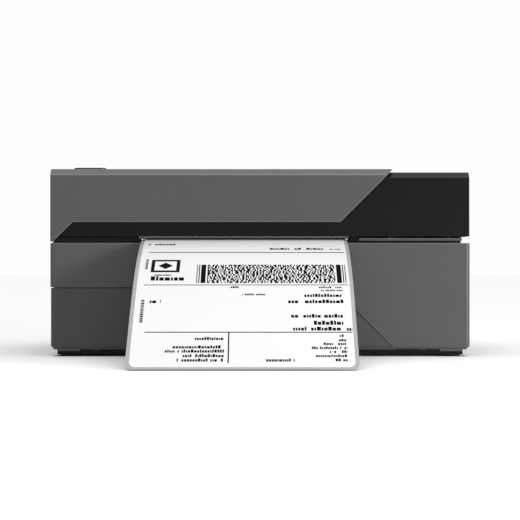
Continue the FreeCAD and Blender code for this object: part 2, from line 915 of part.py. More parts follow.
def motor_bolt_spots():
    y, z = motor_centre()
    return [
        (f"{y} + {sy} * motor_bolts / 2", f"{z} + {sz} * motor_bolts / 2")
        for sy in (-1, 1)
        for sz in (-1, 1)
    ]


def make_drive():
    roller_span = ("path_centre - platen_half", "path_centre + platen_half")
    sleeve = cut(
        "platen_roller",
        rod("roller_body", "X", PLATEN, roller_span, "platen_radius"),
        rod("roller_bore", "X", PLATEN, ("-70", "60"), "shaft_radius"),
    )
    node("platen_roller", sleeve)
    node(
        "platen_shaft",
        rod("platen_shaft", "X", PLATEN, ("-70.3", "gear_at + gear_wide + 2"), "shaft_radius"),
    )
    bushes = []
    for name, low, high, flange in (
        ("left", "side_plate_at - 1", "side_plate_at + plate_thick + 1.5", "side_plate_at + plate_thick"),
        ("right", "gear_plate_at - 1.5", "gear_plate_at + plate_thick", "gear_plate_at - 1.5"),
    ):
        body = fuse(
            f"{name}_bush_body",
            rod(f"{name}_bush_barrel", "X", PLATEN, (low, high), "bush_radius"),
            rod(f"{name}_bush_flange", "X", PLATEN, (flange, f"{flange} + 1.5"), "bush_radius + 1.2"),
        )
        bore = rod(f"{name}_bush_bore", "X", PLATEN, ("-80", "80"), "shaft_radius + running_fit")
        bushes.append(cut(f"{name}_bush", body, bore))
    node("platen_bushes", bundle("platen_bushes", bushes))

    first = number("idler_direction")
    second = number("pinion_direction")
    idler_teeth = number("idler_teeth")
    idler_angle = first + 180 - 180 / idler_teeth
    pinion_angle = second + 180 - (180 - idler_teeth * (second - idler_angle)) / number("pinion_teeth")
    node(
        "platen_gear",
        gear("platen_gear", "platen_teeth", "gear_wide", "shaft_radius", "X", first, "gear_at", *PLATEN),
    )
    idler_y, idler_z = idler_centre()
    node(
        "idler_gear",
        gear(
            "idler_gear",
            "idler_teeth",
            "gear_wide",
            "idler_axle + running_fit",
            "X",
            idler_angle,
            "gear_at",
            idler_y,
            idler_z,
        ),
    )
    axle = fuse(
        "idler_axle",
        rod(
            "axle_rod",
            "X",
            (idler_y, idler_z),
            ("gear_plate_at", "gear_at + gear_wide + 1.6"),
            "idler_axle",
        ),
        rod(
            "axle_collar",
            "X",
            (idler_y, idler_z),
            ("gear_at + gear_wide + 0.4", "gear_at + gear_wide + 1.4"),
            "idler_axle + 1.2",
        ),
    )
    node("idler_axle", axle)
    motor_y, motor_z = motor_centre()
    node(
        "motor_pinion",
        gear(
            "motor_pinion",
            "pinion_teeth",
            "gear_wide + 0.6",
            "motor_axle",
            "X",
            pinion_angle,
            "gear_at - 0.3",
            motor_y,
            motor_z,
        ),
    )
    motor_back = "gear_plate_at - motor_long"
    node("motor_shaft", rod("motor_shaft", "X", (motor_y, motor_z),
                            (f"{motor_back} + 4", "gear_at + gear_wide + 1"), "motor_axle"))
    half = "motor_wide / 2"
    can = block("motor_can", (motor_back, "gear_plate_at"), (f"{motor_y} - {half}", f"{motor_y} + {half}"),
                (f"{motor_z} - {half}", f"{motor_z} + {half}"))
    can = softened("Chamfer", "motor_body", can, "3", lambda edge: edge.BoundBox.XLength > 10)
    tools = [
        rod(
            "motor_bore",
            "X",
            (motor_y, motor_z),
            (f"{motor_back} + 3.6", "gear_plate_at + 5"),
            "motor_axle + 0.06",
        )
    ]
    tools += [
        rod(
            f"motor_tap_{i}",
            "X",
            spot,
            ("gear_plate_at - motor_thread", "gear_plate_at + 1"),
            "motor_screw",
        )
        for i, spot in enumerate(motor_bolt_spots())
    ]
    node("stepper_motor", cut("stepper_motor", can, *tools))
    screws = [
        fuse(
            f"motor_screw_{i}",
            cone(
                f"motor_screw_head_{i}",
                "X",
                spot,
                ("gear_plate_at", "gear_plate_at + plate_thick"),
                ("motor_screw", "motor_sink"),
            ),
            rod(
                f"motor_screw_shank_{i}",
                "X",
                spot,
                ("gear_plate_at - motor_thread", "gear_plate_at"),
                "motor_screw",
            ),
        )
        for i, spot in enumerate(motor_bolt_spots())
    ]
    node("motor_screws", bundle("motor_screws", screws))


# Media guides, moved apart and together by one pinion

def rack(name, side):
    """A toothed bar that faces the pinion from the front (side -1) or from the back (side +1)."""
    module = number("gear_module")
    pitch = math.pi * module
    pitch_radius = module * number("pinion_teeth") / 2
    half_tooth = (pitch / 2 - number("backlash")) / 2
    slope = math.tan(math.radians(20))
    root, tip = 1.2 * module, 0.9 * module
    travel_in, travel_out = number("guide_in"), number("guide_out")
    outer = number("guide_half + guide_thick")
    last = math.ceil((travel_in + 3) / pitch)
    first = -math.ceil((travel_out + 4) / pitch)
    points = [(-outer, pitch_radius + 5.2), (-outer, pitch_radius + root)]
    for step in range(-last, -first + 1):
        middle = step * pitch
        points.append((middle - half_tooth - root * slope, pitch_radius + root))
        points.append((middle - half_tooth + tip * slope, pitch_radius - tip))
        points.append((middle + half_tooth - tip * slope, pitch_radius - tip))
        points.append((middle + half_tooth + root * slope, pitch_radius + root))
    end = points[-1][0] + 1
    points += [(end, pitch_radius + root), (end, pitch_radius + 5.2)]
    face = Part.Face(Part.makePolygon([VECTOR(a, -b, 0) for a, b in points + points[:1]]))
    bar = face.extrude(VECTOR(0, 0, number("rack_top - rack_low")))
    angle = 0 if side < 0 else 180
    return solid_feature(name, bar, Z_AXIS, angle, "path_centre", "guide_along", "rack_low")


def make_guides():
    for name, side in (("left", -1), ("right", 1)):
        inner = f"path_centre + {side} * guide_half"
        outer = f"path_centre + {side} * (guide_half + guide_thick)"
        low, high = (outer, inner) if side < 0 else (inner, outer)
        y = "guide_along - 9.2" if side < 0 else "guide_along + 4.7"
        fence = block(f"{name}_fence", (low, high), ("10", "44"), ("deck_top + 0.3", "63.2"))
        post = block(f"{name}_post", (low, high), (y, f"{y} + 4.5"), ("rack_low", "deck_top + 1"))
        node(f"guide_{name}", fuse(f"guide_{name}", fence, post, rack(f"{name}_rack", side)))
    node("guide_pinion", gear("guide_pinion", "pinion_teeth", "3", "stub_radius + running_fit", "Z", 0,
                              "path_centre", "guide_along", "52.8"))
    spot = ("path_centre", "guide_along")
    node(
        "pinion_screw",
        screw(
            "pinion_screw",
            "Z",
            spot,
            ("stub_low - 1.6", "stub_low"),
            ("stub_low", "stub_top"),
            "stub_radius + 1.2",
            "stub_screw",
        ),
    )


# Electronics

def board_corners():
    return [(x, y) for x in ("-62", "32") for y in ("8", "45")]


def on_board(name, x, y, tall):
    return block(name, x, y, ("board_low + board_thick", f"board_low + board_thick + {tall}"))


def make_electronics():
    board = block("board_slab", ("-66", "36"), ("4", "49"), ("board_low", "board_low + board_thick"))
    holes = [
        rod(f"board_hole_{i}", "Z", spot, ("8", "11"), "tap_radius")
        for i, spot in enumerate(board_corners())
    ]
    node("main_board", cut("main_board", board, *holes))
    head = ("board_low + board_thick", "board_low + board_thick + 1.6")
    screws = [
        screw(f"board_screw_{i}", "Z", spot, head, ("4.6", "board_low + board_thick"), "2.5", "tap_radius")
        for i, spot in enumerate(board_corners())
    ]
    node("board_screws", bundle("board_screws", screws))
    chips = [
        on_board("processor", ("-30", "-16"), ("16", "30"), "1.5"),
        on_board("memory", ("-8", "2"), ("18", "26"), "1.2"),
        on_board("motor_driver", ("10", "17"), ("22", "29"), "1.3"),
        on_board("regulator", ("-56", "-47"), ("12", "18"), "2.4"),
    ]
    node("board_chips", bundle("board_chips", chips))
    cans = [
        rod(f"capacitor_{i}", "Z", spot, ("board_low + board_thick", "board_low + board_thick + 12"), "4")
        for i, spot in enumerate([("-38", "20"), ("-38", "30"), ("6", "36")])
    ]
    node("board_capacitors", bundle("board_capacitors", cans))
    connectors = [
        on_board("motor_connector", ("-2", "10"), ("7", "12"), "6"),
        on_board("head_socket", ("-50", "-14"), ("6", "11"), "5"),
        on_board("lid_socket", ("14", "24"), ("38", "43"), "6"),
    ]
    node("board_connectors", bundle("board_connectors", connectors))

    upper = ("board_low + board_thick", "socket_top")
    usb = block("usb_can", around("usb_across", "usb_half"), ("36.5", "socket_face"), upper)
    mouth = block("usb_mouth", around("usb_across", "4.2"), ("43.5", "socket_face + 1"), ("11.8", "19.6"))
    tongue = block("usb_tongue", around("usb_across", "2.8"), ("43", "socket_face - 1"), ("14.1", "17.3"))
    node("usb_socket", fuse("usb_socket", cut("usb_can_open", usb, mouth), tongue))

    inlet = block("inlet_body", around("inlet_across", "inlet_half"), ("38.5", "socket_face"), upper)
    centre = ("inlet_across", "jack_height")
    barrel = rod("inlet_barrel", "Y", centre, ("43", "socket_face + 1"), "jack_bore")
    contact = rod("inlet_contact", "Y", centre, ("42", "socket_face - 1"), "jack_pin")
    node("power_inlet", fuse("power_inlet", cut("inlet_open", inlet, barrel), contact))

    low, high = around("rocker_height", "switch_high")
    case = block("switch_case", around("rocker_across", "switch_half"), ("38", BACK), (low, high))
    bezel = block("switch_bezel", around("rocker_across", "bezel_half"), (BACK, f"{BACK} + 1"),
                  around("rocker_height", "bezel_high"))
    well = block("switch_well", around("rocker_across", "well_half"), ("44", f"{BACK} + 2"),
                 around("rocker_height", "well_high"))
    pivot = rod(
        "switch_pivot_hole",
        "Z",
        ("rocker_across", "rocker_along"),
        (f"{low} + 0.4", f"{high} - 0.4"),
        "1 + running_fit",
    )
    node("switch_housing", cut("switch_housing", fuse("switch_body", case, bezel), well, pivot))
    cap = prism(
        "rocker_cap",
        "XY",
        [("-6.5", "-2"), ("6.5", "-2"), ("6.5", "4.4"), ("0", "3.6"), ("-6.5", "4.4")],
        ("-4.2", "4.2"),
    )
    stubs = rod("rocker_stubs", "Z", ("0", "0"), ("-5.4", "5.4"), "1")
    rocker = fuse("power_rocker", cap, stubs)
    rocker.Placement = FreeCAD.Placement(VECTOR(), FreeCAD.Rotation(Z_AXIS, -number("rocker_tilt")))
    node("power_rocker", put(rocker, "rocker_across", "rocker_along", "rocker_height"))


def make_motor_cable():
    """A round cable from the motor's back to the board's connector, straight runs joined by arcs."""
    motor_y, motor_z = (number(text) for text in motor_centre())
    start = number("gear_plate_at - motor_long")
    level = number("board_low + board_thick + 6")
    corners = [
        VECTOR(start, motor_y, motor_z - 8),
        VECTOR(start - 10, motor_y, motor_z - 8),
        VECTOR(start - 20, motor_y + 9, motor_z - 7),
        VECTOR(4, 9.5, level + 9),
        VECTOR(4, 9.5, level),
    ]
    edges = []
    at = corners[0]
    for before, corner, after in zip(corners, corners[1:], corners[2:]):
        inward = (before - corner).normalize()
        outward = (after - corner).normalize()
        half_turn = (math.pi - inward.getAngle(outward)) / 2
        shorter = min(before.distanceToPoint(corner), after.distanceToPoint(corner))
        trim = 0.45 * shorter
        radius = trim / math.tan(half_turn)
        print(f"motor_cable bend radius {radius:.1f}")
        entry, leave = corner + inward * trim, corner + outward * trim
        centre = corner + (inward + outward).normalize() * (radius / math.cos(half_turn))
        middle = centre + (corner - centre).normalize() * radius
        edges += [Part.LineSegment(at, entry).toShape(), Part.Arc(entry, middle, leave).toShape()]
        at = leave
    edges.append(Part.LineSegment(at, corners[-1]).toShape())
    path = Part.Wire(edges)
    thick = number("cable_radius")
    ring = Part.Wire([Part.makeCircle(thick, corners[0], corners[1] - corners[0])])
    tube = path.makePipeShell([ring], True, True)
    print(
        f"motor_cable volume {tube.Volume:.1f}, section times length {math.pi * thick ** 2 * path.Length:.1f}"
    )
    node("motor_cable", solid_feature("motor_cable", tube))


# Lid

def bevelled(name, x, y, z, bevel):
    """A box with its top front edge cut away at 45 degrees."""
    size = f"({bevel})"
    points = [
        (y[0], z[0]),
        (y[1], z[0]),
        (y[1], z[1]),
        (f"{y[0]} + {size}", z[1]),
        (y[0], f"{z[1]} - {size}"),
    ]
    return prism(name, "YZ", points, x)


def make_lid():
    outer = bevelled(
        "lid_block",
        (LID_LEFT, LID_RIGHT),
        (LID_FRONT, BACK),
        ("lid_low", "lid_top"),
        "lid_bevel",
    )
    hollow = bevelled(
        "lid_hollow",
        (f"{LID_LEFT} + lid_wall", f"{LID_RIGHT} - lid_wall"),
        (f"{LID_FRONT} + lid_wall", f"{BACK} - lid_wall"),
        ("lid_low - 1", "lid_top - lid_wall"),
        "lid_bevel - 0.6",
    )
    back_wall = f"{BACK} - lid_wall"
    feed = block("feed_notch", (f"{LID_LEFT} - 1", f"{LID_RIGHT} + 1"), (back_wall, f"{BACK} + 1"),
                 ("lid_low - 1", "feed_notch_top"))
    additions = [cut("lid_shell", outer, hollow, feed, *knuckle_rooms(), button_hole("lid_button_hole"))]
    trims = []
    for side, across in (("left", (LID_LEFT, "slot_left")), ("right", ("slot_right + 2", LID_RIGHT))):
        strip = block(f"{side}_back_strip", across, (back_wall, BACK), ("lid_low", "feed_notch_top"))
        trims.append(cut(f"{side}_back_trim", strip, *knuckle_rooms(f"{side}_trim_")))
    node("lid_back_trims", bundle("lid_back_trims", trims))
    under_top = "lid_top - lid_wall + 0.5"
    for index, (x, y) in enumerate(bracket_spots()):
        additions.append(
            rod(
                f"bracket_boss_{index}",
                "Z",
                (x, y),
                ("bracket_low + bracket_thick", under_top),
                "boss_radius",
            )
        )
    for index, (x, y) in enumerate(cover_spots()):
        additions.append(
            rod(f"inner_boss_{index}", "Z", (x, y), ("inner_low + inner_thick", under_top), "boss_radius")
        )
    for name, x in (("left", "-96"), ("right", "95")):
        additions.append(block(f"{name}_latch_rib", (x, f"{x} + 3"), ("latch_along - 4", "latch_along + 4"),
                               ("latch_height - 4", under_top)))
    for index, x in enumerate(("button_board_left", "button_board_right - 3.9")):
        additions.append(
            block(
                f"button_post_{index}",
                (x, f"{x} + 3.9"),
                ("button_board_front", "button_board_back"),
                ("button_board_top", under_top),
            )
        )
    holes = [rod("latch_bore", "X", LATCH, ("-103", "103"), "latch_radius + running_fit")]
    for index, spot in enumerate(bracket_spots() + cover_spots()):
        holes.append(rod(f"lid_screw_hole_{index}", "Z", spot, ("65", "88"), "tap_radius"))
    node("lid_frame", cut("lid_frame", fuse("lid_body", *additions), *holes))

    skin = bevelled(
        "skin_block",
        (f"{LEFT} + 0.1", "68"),
        (FRONT, BACK),
        ("skin_low", "lid_top + skin_gap + skin_thick"),
        "lid_bevel",
    )
    inside = bevelled(
        "skin_inside",
        (f"{LID_LEFT} - skin_gap", "70"),
        (f"{LID_FRONT} - skin_gap", f"{BACK} + 1"),
        ("skin_low - 1", "lid_top + skin_gap"),
        "lid_bevel",
    )
    over = "lid_top + 4"
    shape = prism(
        "skin_shape", "XZ",
        [
            (f"{LEFT} - 1", "skin_low - 1"),
            ("skin_turn_left - (skin_step - skin_low) - 1", "skin_low - 1"),
            ("skin_turn_left", "skin_step"),
            ("skin_turn_right", "skin_step"),
            (f"skin_turn_right + ({over} - skin_step)", over),
            (f"{LEFT} - 1", over),
        ],
        (f"{FRONT} - 1", f"{BACK} + 1"),
    )
    notch = block("skin_notch", (f"{LEFT} - 1", "0"), ("44", f"{BACK} + 1"), ("skin_low - 1", "lid_low"))
    shell = cut("skin_shell", skin, inside, notch, button_hole("skin_button_hole"))
    node("lid_cover", common("lid_cover", shell, shape))


def knuckle_rooms(prefix=""):
    """Round room in the lid's back wall for the hinge knuckles."""
    rooms = []
    for side in (-1, 1):
        centre = f"{side} * hinge_across"
        reach = "hinge_shift + knuckle_half + 0.3"
        span = (f"{centre} - ({reach})", f"{centre} + {reach}")
        rooms.append(rod(f"{prefix}knuckle_room_{side}", "X", HINGE, span, "hinge_radius + 0.5"))
    return rooms


def make_hinge_arms():
    """The lid's halves of the hinge, held against the inside of its back wall."""
    inside = f"{BACK} - lid_wall"
    arms = []
    for side in (-1, 1):
        centre = f"{side} * hinge_across"
        span = (f"{centre} - lid_knuckle_half", f"{centre} + lid_knuckle_half")
        body = fuse(
            f"hinge_arm_body_{side}",
            rod(f"lid_knuckle_{side}", "X", HINGE, span, "hinge_radius"),
            block(f"lid_web_{side}", span, ("47.5", inside), ("hinge_height", "72")),
        )
        arms.append(cut(f"hinge_arm_{side}", body, hinge_bore(f"arm_bore_{side}", "hinge_pin + hinge_fit")))
    node("lid_hinge_arms", bundle("lid_hinge_arms", arms))


def pill(name, grow, low, high):
    """A bar with round ends, as the button's cap and its hole."""
    half = f"(button_wide / 2 + {grow})"
    reach = "(button_long - button_wide) / 2"
    ends = [
        rod(
            f"{name}_end_{side}",
            "Z",
            (f"button_across + {side} * {reach}", "button_along"),
            (low, high),
            half,
        )
        for side in (-1, 1)
    ]
    bar = block(f"{name}_bar", (f"button_across - {reach}", f"button_across + {reach}"),
                (f"button_along - {half}", f"button_along + {half}"), (low, high))
    return fuse(name, bar, *ends)


def button_hole(name):
    return pill(name, "0.3", "90", "98")


def bracket_spots():
    return [(x, y) for x in ("-58", "42") for y in ("-43", "-23")]


def cover_spots():
    return [(x, y) for x in ("-77", "77") for y in ("8", "38")]


def make_lid_inside():
    plate = block("inner_plate", ("-103.5", "105"), ("-15", "45.2"), ("inner_low", "inner_low + inner_thick"))
    holes = [
        rod(f"inner_hole_{i}", "Z", spot, ("63", "67"), "tap_radius")
        for i, spot in enumerate(cover_spots())
    ]
    for side in (-1, 1):
        centre = f"{side} * hook_across"
        holes.append(block(f"hook_gap_{side}", (f"{centre} - 3", f"{centre} + 3"), HOOK_ROOM, ("63", "67")))
    node("lid_inner_cover", cut("lid_inner_cover", plate, *holes))
    screws = [
        screw(
            f"lid_screw_{i}",
            "Z",
            spot,
            ("inner_low - 1.6", "inner_low"),
            ("inner_low", "76"),
            "screw_head",
            "tap_radius",
        )
        for i, spot in enumerate(cover_spots())
    ]
    node("lid_screws", bundle("lid_screws", screws))

    low, high = number("path_centre - 54.4"), number("path_centre + 53.8")
    pitch = number("tear_pitch")
    teeth = int((high - low) / pitch)
    bottom, top, tooth = number("tear_low"), number("tear_top"), number("tear_tooth")
    points = [(low, top), (low, bottom + tooth)]
    for step in range(teeth):
        points.append((low + (step + 0.5) * pitch, bottom))
        points.append((low + (step + 1) * pitch, bottom + tooth))
    points.append((points[-1][0], top))
    face = Part.Face(Part.makePolygon([VECTOR(a, 0, b) for a, b in points + points[:1]]))
    bar = face.extrude(VECTOR(0, number("tear_thick"), 0))
    node("tear_bar", solid_feature("tear_bar", bar, y=f"{LID_FRONT} + lid_wall + 0.02"))


def make_head():
    low, high = "path_centre - head_half", "path_centre + head_half"
    node("print_head_board", block("print_head_board", (low, high), ("head_front", "-28"),
                                   ("head_low", "head_low + head_board")))
    sink_low = "head_low + head_board"
    sink_top = f"{sink_low} + head_sink"
    slab = block("sink_slab", (low, high), ("head_front", "head_back"), (sink_low, sink_top))
    ears = [
        block(
            "sink_ear_left",
            (low, f"{low} + 3"),
            ("ear_front", "ear_back"),
            (sink_low, "head_pivot_height + 4"),
        ),
        block(
            "sink_ear_right",
            (f"{high} - 3", high),
            ("ear_front", "ear_back"),
            (sink_low, "head_pivot_height + 4"),
        ),
    ]
    bore = rod("sink_bore", "X", HEAD_PIVOT, ("-80", "80"), "head_pin + hinge_fit")
    node("head_heatsink", cut("head_heatsink", fuse("sink_body", slab, *ears), bore))
    node("head_connector", block("head_connector", ("path_centre - 20", "path_centre + 20"), ("-30", "-25"),
                                 (sink_top, f"{sink_top} + 5")))
    pins = [
        rod("head_pin_left", "X", HEAD_PIVOT, ("bracket_left - 1", "bracket_left + 9"), "head_pin"),
        rod("head_pin_right", "X", HEAD_PIVOT, ("bracket_right - 9", "bracket_right + 1"), "head_pin"),
    ]
    node("head_pivot_pins", bundle("head_pivot_pins", pins))

    roof = block("bracket_roof", ("bracket_left", "bracket_right"), ("-47.3", "-19"),
                 ("bracket_low", "bracket_low + bracket_thick"))
    cheeks = [
        block(f"bracket_cheek_{side}", span, ("-32", "-20"), ("64.5", "bracket_low + 0.5"))
        for side, span in (
            ("left", ("bracket_left", "bracket_left + bracket_thick")),
            ("right", ("bracket_right - bracket_thick", "bracket_right")),
        )
    ]
    holes = [rod("cheek_bore", "X", HEAD_PIVOT, ("-80", "80"), "head_pin")]
    holes += [
        rod(f"bracket_hole_{i}", "Z", spot, ("75", "78"), "tap_radius")
        for i, spot in enumerate(bracket_spots())
    ]
    node("head_bracket", cut("head_bracket", fuse("bracket_body", roof, *cheeks), *holes))
    screws = [
        screw(f"bracket_screw_{i}", "Z", spot, ("bracket_low - 1.6", "bracket_low"), ("bracket_low", "87"),
              "screw_head", "tap_radius")
        for i, spot in enumerate(bracket_spots())
    ]
    node("bracket_screws", bundle("bracket_screws", screws))
    wire = number("spring_wire")
    floor = number(sink_top) + wire / 2 + 0.2
    tall = number("bracket_low") - wire / 2 - 0.2 - floor
    springs = [
        coil(f"head_spring_{side}", number("spring_radius"), wire, number("spring_turns"), tall,
             f"path_centre + {side} * spring_spread", "platen_along", str(floor))
        for side in (-1, 0, 1)
    ]
    node("head_springs", bundle("head_springs", springs))


def make_latch():
    node("latch_shaft", rod("latch_shaft", "X", LATCH, ("-99", "99"), "latch_radius"))
    hooks = []
    for name, side in (("left", -1), ("right", 1)):
        centre = f"{side} * hook_across"
        span = (f"{centre} - hook_thick / 2", f"{centre} + hook_thick / 2")
        arm = prism(
            f"{name}_hook_arm", "YZ",
            [
                ("latch_along - 2", "latch_height"),
                ("latch_along - 2", "hook_low"),
                ("latch_along + 3", "hook_low"),
                ("latch_along + 4.6", "hook_low + 1.6"),
                ("latch_along + 4.6", "hook_low + 2.4"),
                ("latch_along + 2", "hook_low + 2.8"),
                ("latch_along + 2", "latch_height"),
            ],
            span,
        )
        pieces = [arm, rod(f"{name}_hook_hub", "X", LATCH, (f"{centre} - 2.5", f"{centre} + 2.5"), "4")]
        if side > 0:
            pieces.append(
                block(
                    "release_tab",
                    (f"{centre} - 1", "103.5"),
                    ("latch_along - 4.5", "latch_along + 4.5"),
                    ("hook_low + 4", "hook_low + 5.2"),
                )
            )
        body = fuse(f"{name}_hook_body", *pieces)
        hooks.append(
            cut(f"{name}_hook", body, rod(f"{name}_hook_bore", "X", LATCH, ("-100", "100"), "latch_radius"))
        )
    node("latch_hooks", bundle("latch_hooks", hooks))
    sizes = [number(f"latch_{part}") for part in ("coil", "wire", "turns", "coil_long")]
    node("latch_spring", coil("latch_spring", *sizes, "hook_across - 12", *LATCH, lying=True))


def make_button():
    cap = pill("button_cap", "0", "lid_top - lid_wall - 1", "lid_top + skin_gap + skin_thick + button_proud")
    flange = block(
        "button_flange",
        around("button_across", "button_flange_half"),
        around("button_along", "button_wide / 2 + 1.4"),
        ("lid_top - lid_wall - 1.8", "lid_top - lid_wall - 0.5"),
    )
    stem = rod("button_stem", "Z", ("button_across", "button_along"), ("88.9", "lid_top - lid_wall - 1"), "2")
    node("feed_button", fuse("feed_button", cap, flange, stem))
    node(
        "button_board",
        block(
            "button_board_slab",
            ("button_board_left", "button_board_right"),
            ("button_board_front", "button_board_back"),
            ("button_board_low", "button_board_top"),
        ),
    )
    spot = ("button_across", "button_along")
    case = block("tact_case", around("button_across", "3"), around("button_along", "3"),
                 ("button_board_top", "button_board_top + 1.8"))
    node("button_switch", fuse("button_switch", case, rod("tact_plunger", "Z", spot, ("87", "88.3"), "1.5")))


# The strip of labels that hangs out of the slot

def outward(angle):
    """The strip's upward normal where it slopes down to the front by an angle."""
    turn = math.radians(angle)
    return VECTOR(0, -math.sin(turn), math.cos(turn))


def strip_side(offset, back, trim):
    """One side of the strip: level over the platen, then three arcs that steepen to the table."""
    at = VECTOR(0, number("platen_along"), number("paper_height"))
    edges = [Part.LineSegment(VECTOR(0, back, at.z + offset), at + VECTOR(0, 0, offset))]
    begin = 0.0
    for step in ("first", "second", "last"):
        radius, finish = number(f"curve_{step}"), number(f"bend_{step}")
        centre = at - outward(begin) * radius
        if step == "last":
            finish -= math.degrees(trim / radius)
        angles = (begin, (begin + finish) / 2, finish)
        edges.append(Part.Arc(*[centre + outward(angle) * (radius + offset) for angle in angles]))
        at = centre + outward(finish) * radius
        begin = finish
    return edges


def strip_shape(wide, low, high, back, trim):
    """A strip of paper between two heights over the path; its end is trimmed by a length."""
    under = strip_side(low, back, trim)
    over = strip_side(high, back, trim)
    ends = [
        Part.LineSegment(under[-1].EndPoint, over[-1].EndPoint),
        Part.LineSegment(over[0].StartPoint, under[0].StartPoint),
    ]
    loop = Part.__sortEdges__([edge.toShape() for edge in under + over + ends])
    return Part.Face(Part.Wire(loop)).extrude(VECTOR(wide, 0, 0))


def make_labels():
    thick = number("paper_thick")
    liner = strip_shape(number("liner_wide"), 0.0, thick, number("paper_back"), 0.0)
    node("label_liner", solid_feature("label_liner", liner, x="path_centre - liner_wide / 2"))
    label = strip_shape(number("label_wide"), thick, 2 * thick, number("label_back"), number("label_margin"))
    node("printed_label", solid_feature("printed_label", label, x="path_centre - label_wide / 2"))


make_base()
make_hinge()
make_bottom()
make_deck()
make_plates()
make_drive()
make_guides()
make_electronics()
make_motor_cable()
make_lid()
make_hinge_arms()
make_lid_inside()
make_head()
make_latch()
make_button()
make_labels()
doc.recompute()

for item in doc.Objects:
    if {"Invalid", "Error"} & set(item.State):
        raise RuntimeError(f"{item.Name} failed: {item.State}")
os.makedirs("parts", exist_ok=True)
for item in nodes:
    if item.Shape.isNull() or not item.Shape.isValid():
        raise RuntimeError(f"{item.Label} has no valid shape")
for item in nodes:
    item.Shape.exportStep(f"parts/{item.Label}.step")
    print(f"{item.Label:20s} {len(item.Shape.Solids):3d} solids {item.Shape.Volume:12.1f} mm3")
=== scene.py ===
import json
import math
import random

import bmesh
import bpy
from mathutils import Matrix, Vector

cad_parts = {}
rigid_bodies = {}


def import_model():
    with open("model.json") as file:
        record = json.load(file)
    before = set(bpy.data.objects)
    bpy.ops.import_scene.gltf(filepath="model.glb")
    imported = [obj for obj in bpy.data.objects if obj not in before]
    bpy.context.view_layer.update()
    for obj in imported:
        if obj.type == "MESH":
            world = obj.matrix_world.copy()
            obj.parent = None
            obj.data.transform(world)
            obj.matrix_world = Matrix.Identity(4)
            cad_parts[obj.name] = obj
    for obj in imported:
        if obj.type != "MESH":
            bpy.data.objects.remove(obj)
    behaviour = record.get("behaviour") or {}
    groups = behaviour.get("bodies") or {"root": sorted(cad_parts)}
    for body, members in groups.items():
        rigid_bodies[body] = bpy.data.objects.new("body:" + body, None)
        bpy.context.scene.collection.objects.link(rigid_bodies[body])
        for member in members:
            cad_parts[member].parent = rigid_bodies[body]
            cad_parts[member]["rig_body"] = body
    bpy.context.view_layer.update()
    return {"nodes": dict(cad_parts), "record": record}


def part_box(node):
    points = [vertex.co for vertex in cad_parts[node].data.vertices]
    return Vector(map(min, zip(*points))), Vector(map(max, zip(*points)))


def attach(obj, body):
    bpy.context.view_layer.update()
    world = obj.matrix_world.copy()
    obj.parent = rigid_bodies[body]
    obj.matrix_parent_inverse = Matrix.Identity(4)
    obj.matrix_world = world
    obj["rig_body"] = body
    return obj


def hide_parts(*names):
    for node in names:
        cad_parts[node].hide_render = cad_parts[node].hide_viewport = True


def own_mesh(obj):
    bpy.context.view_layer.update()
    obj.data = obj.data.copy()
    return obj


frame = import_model()

# Desktop direct-thermal label printer. Metres; X right, Y back, Z up, origin on the table.
MM = 0.001
NODES = frame["nodes"]
RECORD = frame["record"]
scene = bpy.context.scene
scene.view_settings.view_transform = "Standard"


# Meshes

def new_piece(name, mesh, body, materials=()):
    """Put a finished mesh into the scene as a piece that rides on a body."""
    piece = bpy.data.objects.new(name, mesh)
    scene.collection.objects.link(piece)
    for material in materials:
        mesh.materials.append(material)
    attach(piece, body)
    return piece


def mesh_from(name, points, faces, smooth=False):
    mesh = bpy.data.meshes.new(name)
    mesh.from_pydata([tuple(point) for point in points], [], faces)
    mesh.update()
    mesh.polygons.foreach_set("use_smooth", [smooth] * len(mesh.polygons))
    return mesh


class Shape:
    """Points and faces of a piece that is put together from simple closed forms."""

    def __init__(self):
        self.points = []
        self.faces = []

    def add(self, points, faces):
        first = len(self.points)
        self.points += [Vector(point) for point in points]
        self.faces += [[first + index for index in face] for face in faces]

    def box(self, low, high, bevel):
        """A box with all twelve edges bevelled."""
        cell = bmesh.new()
        bmesh.ops.create_cube(cell, size=1.0)
        centre = (Vector(low) + Vector(high)) / 2
        size = Vector(high) - Vector(low)
        for vert in cell.verts:
            vert.co = centre + Vector(a * b for a, b in zip(vert.co, size))
        bmesh.ops.bevel(cell, geom=cell.edges[:], offset=bevel, segments=2, profile=0.5, affect="EDGES")
        cell.verts.index_update()
        faces = [[vert.index for vert in face.verts] for face in cell.faces]
        self.add([vert.co for vert in cell.verts], faces)
        cell.free()

    def lathe(self, base, axis, profile, sides):
        """Turn a profile of (distance along the axis, radius) round an axis; its ends are closed."""
        axis = Vector(axis).normalized()
        across = axis.orthogonal().normalized()
        up = axis.cross(across)
        points = []
        for along, radius in profile:
            for step in range(sides):
                turn = 2 * math.pi * step / sides
                spoke = across * math.cos(turn) + up * math.sin(turn)
                points.append(Vector(base) + axis * along + spoke * radius)
        faces = [list(range(sides))[::-1]]
        for ring in range(len(profile) - 1):
            for step in range(sides):
                following = (step + 1) % sides
                one, two = ring * sides, (ring + 1) * sides
                faces.append([one + step, one + following, two + following, two + step])
        faces.append([(len(profile) - 1) * sides + step for step in range(sides)])
        self.add(points, faces)

    def piece(self, name, body, slot, material):
        mesh = mesh_from(name, self.points, self.faces, smooth=True)
        mesh.set_sharp_from_angle(angle=math.radians(35))
        new_piece(name, mesh, body, [material])


# Materials. Noise scales are per metre, and bump depths are in metres.

# The part of its range that a noise value really uses, and how far a roughness varies with it.
NOISE_LOW, NOISE_HIGH = 0.3, 0.7
ROUGH_SPREAD = 0.06


def new_material(name):
    material = bpy.data.materials.new(name)
    material.use_nodes = True
    return material, material.node_tree, material.node_tree.nodes["Principled BSDF"]


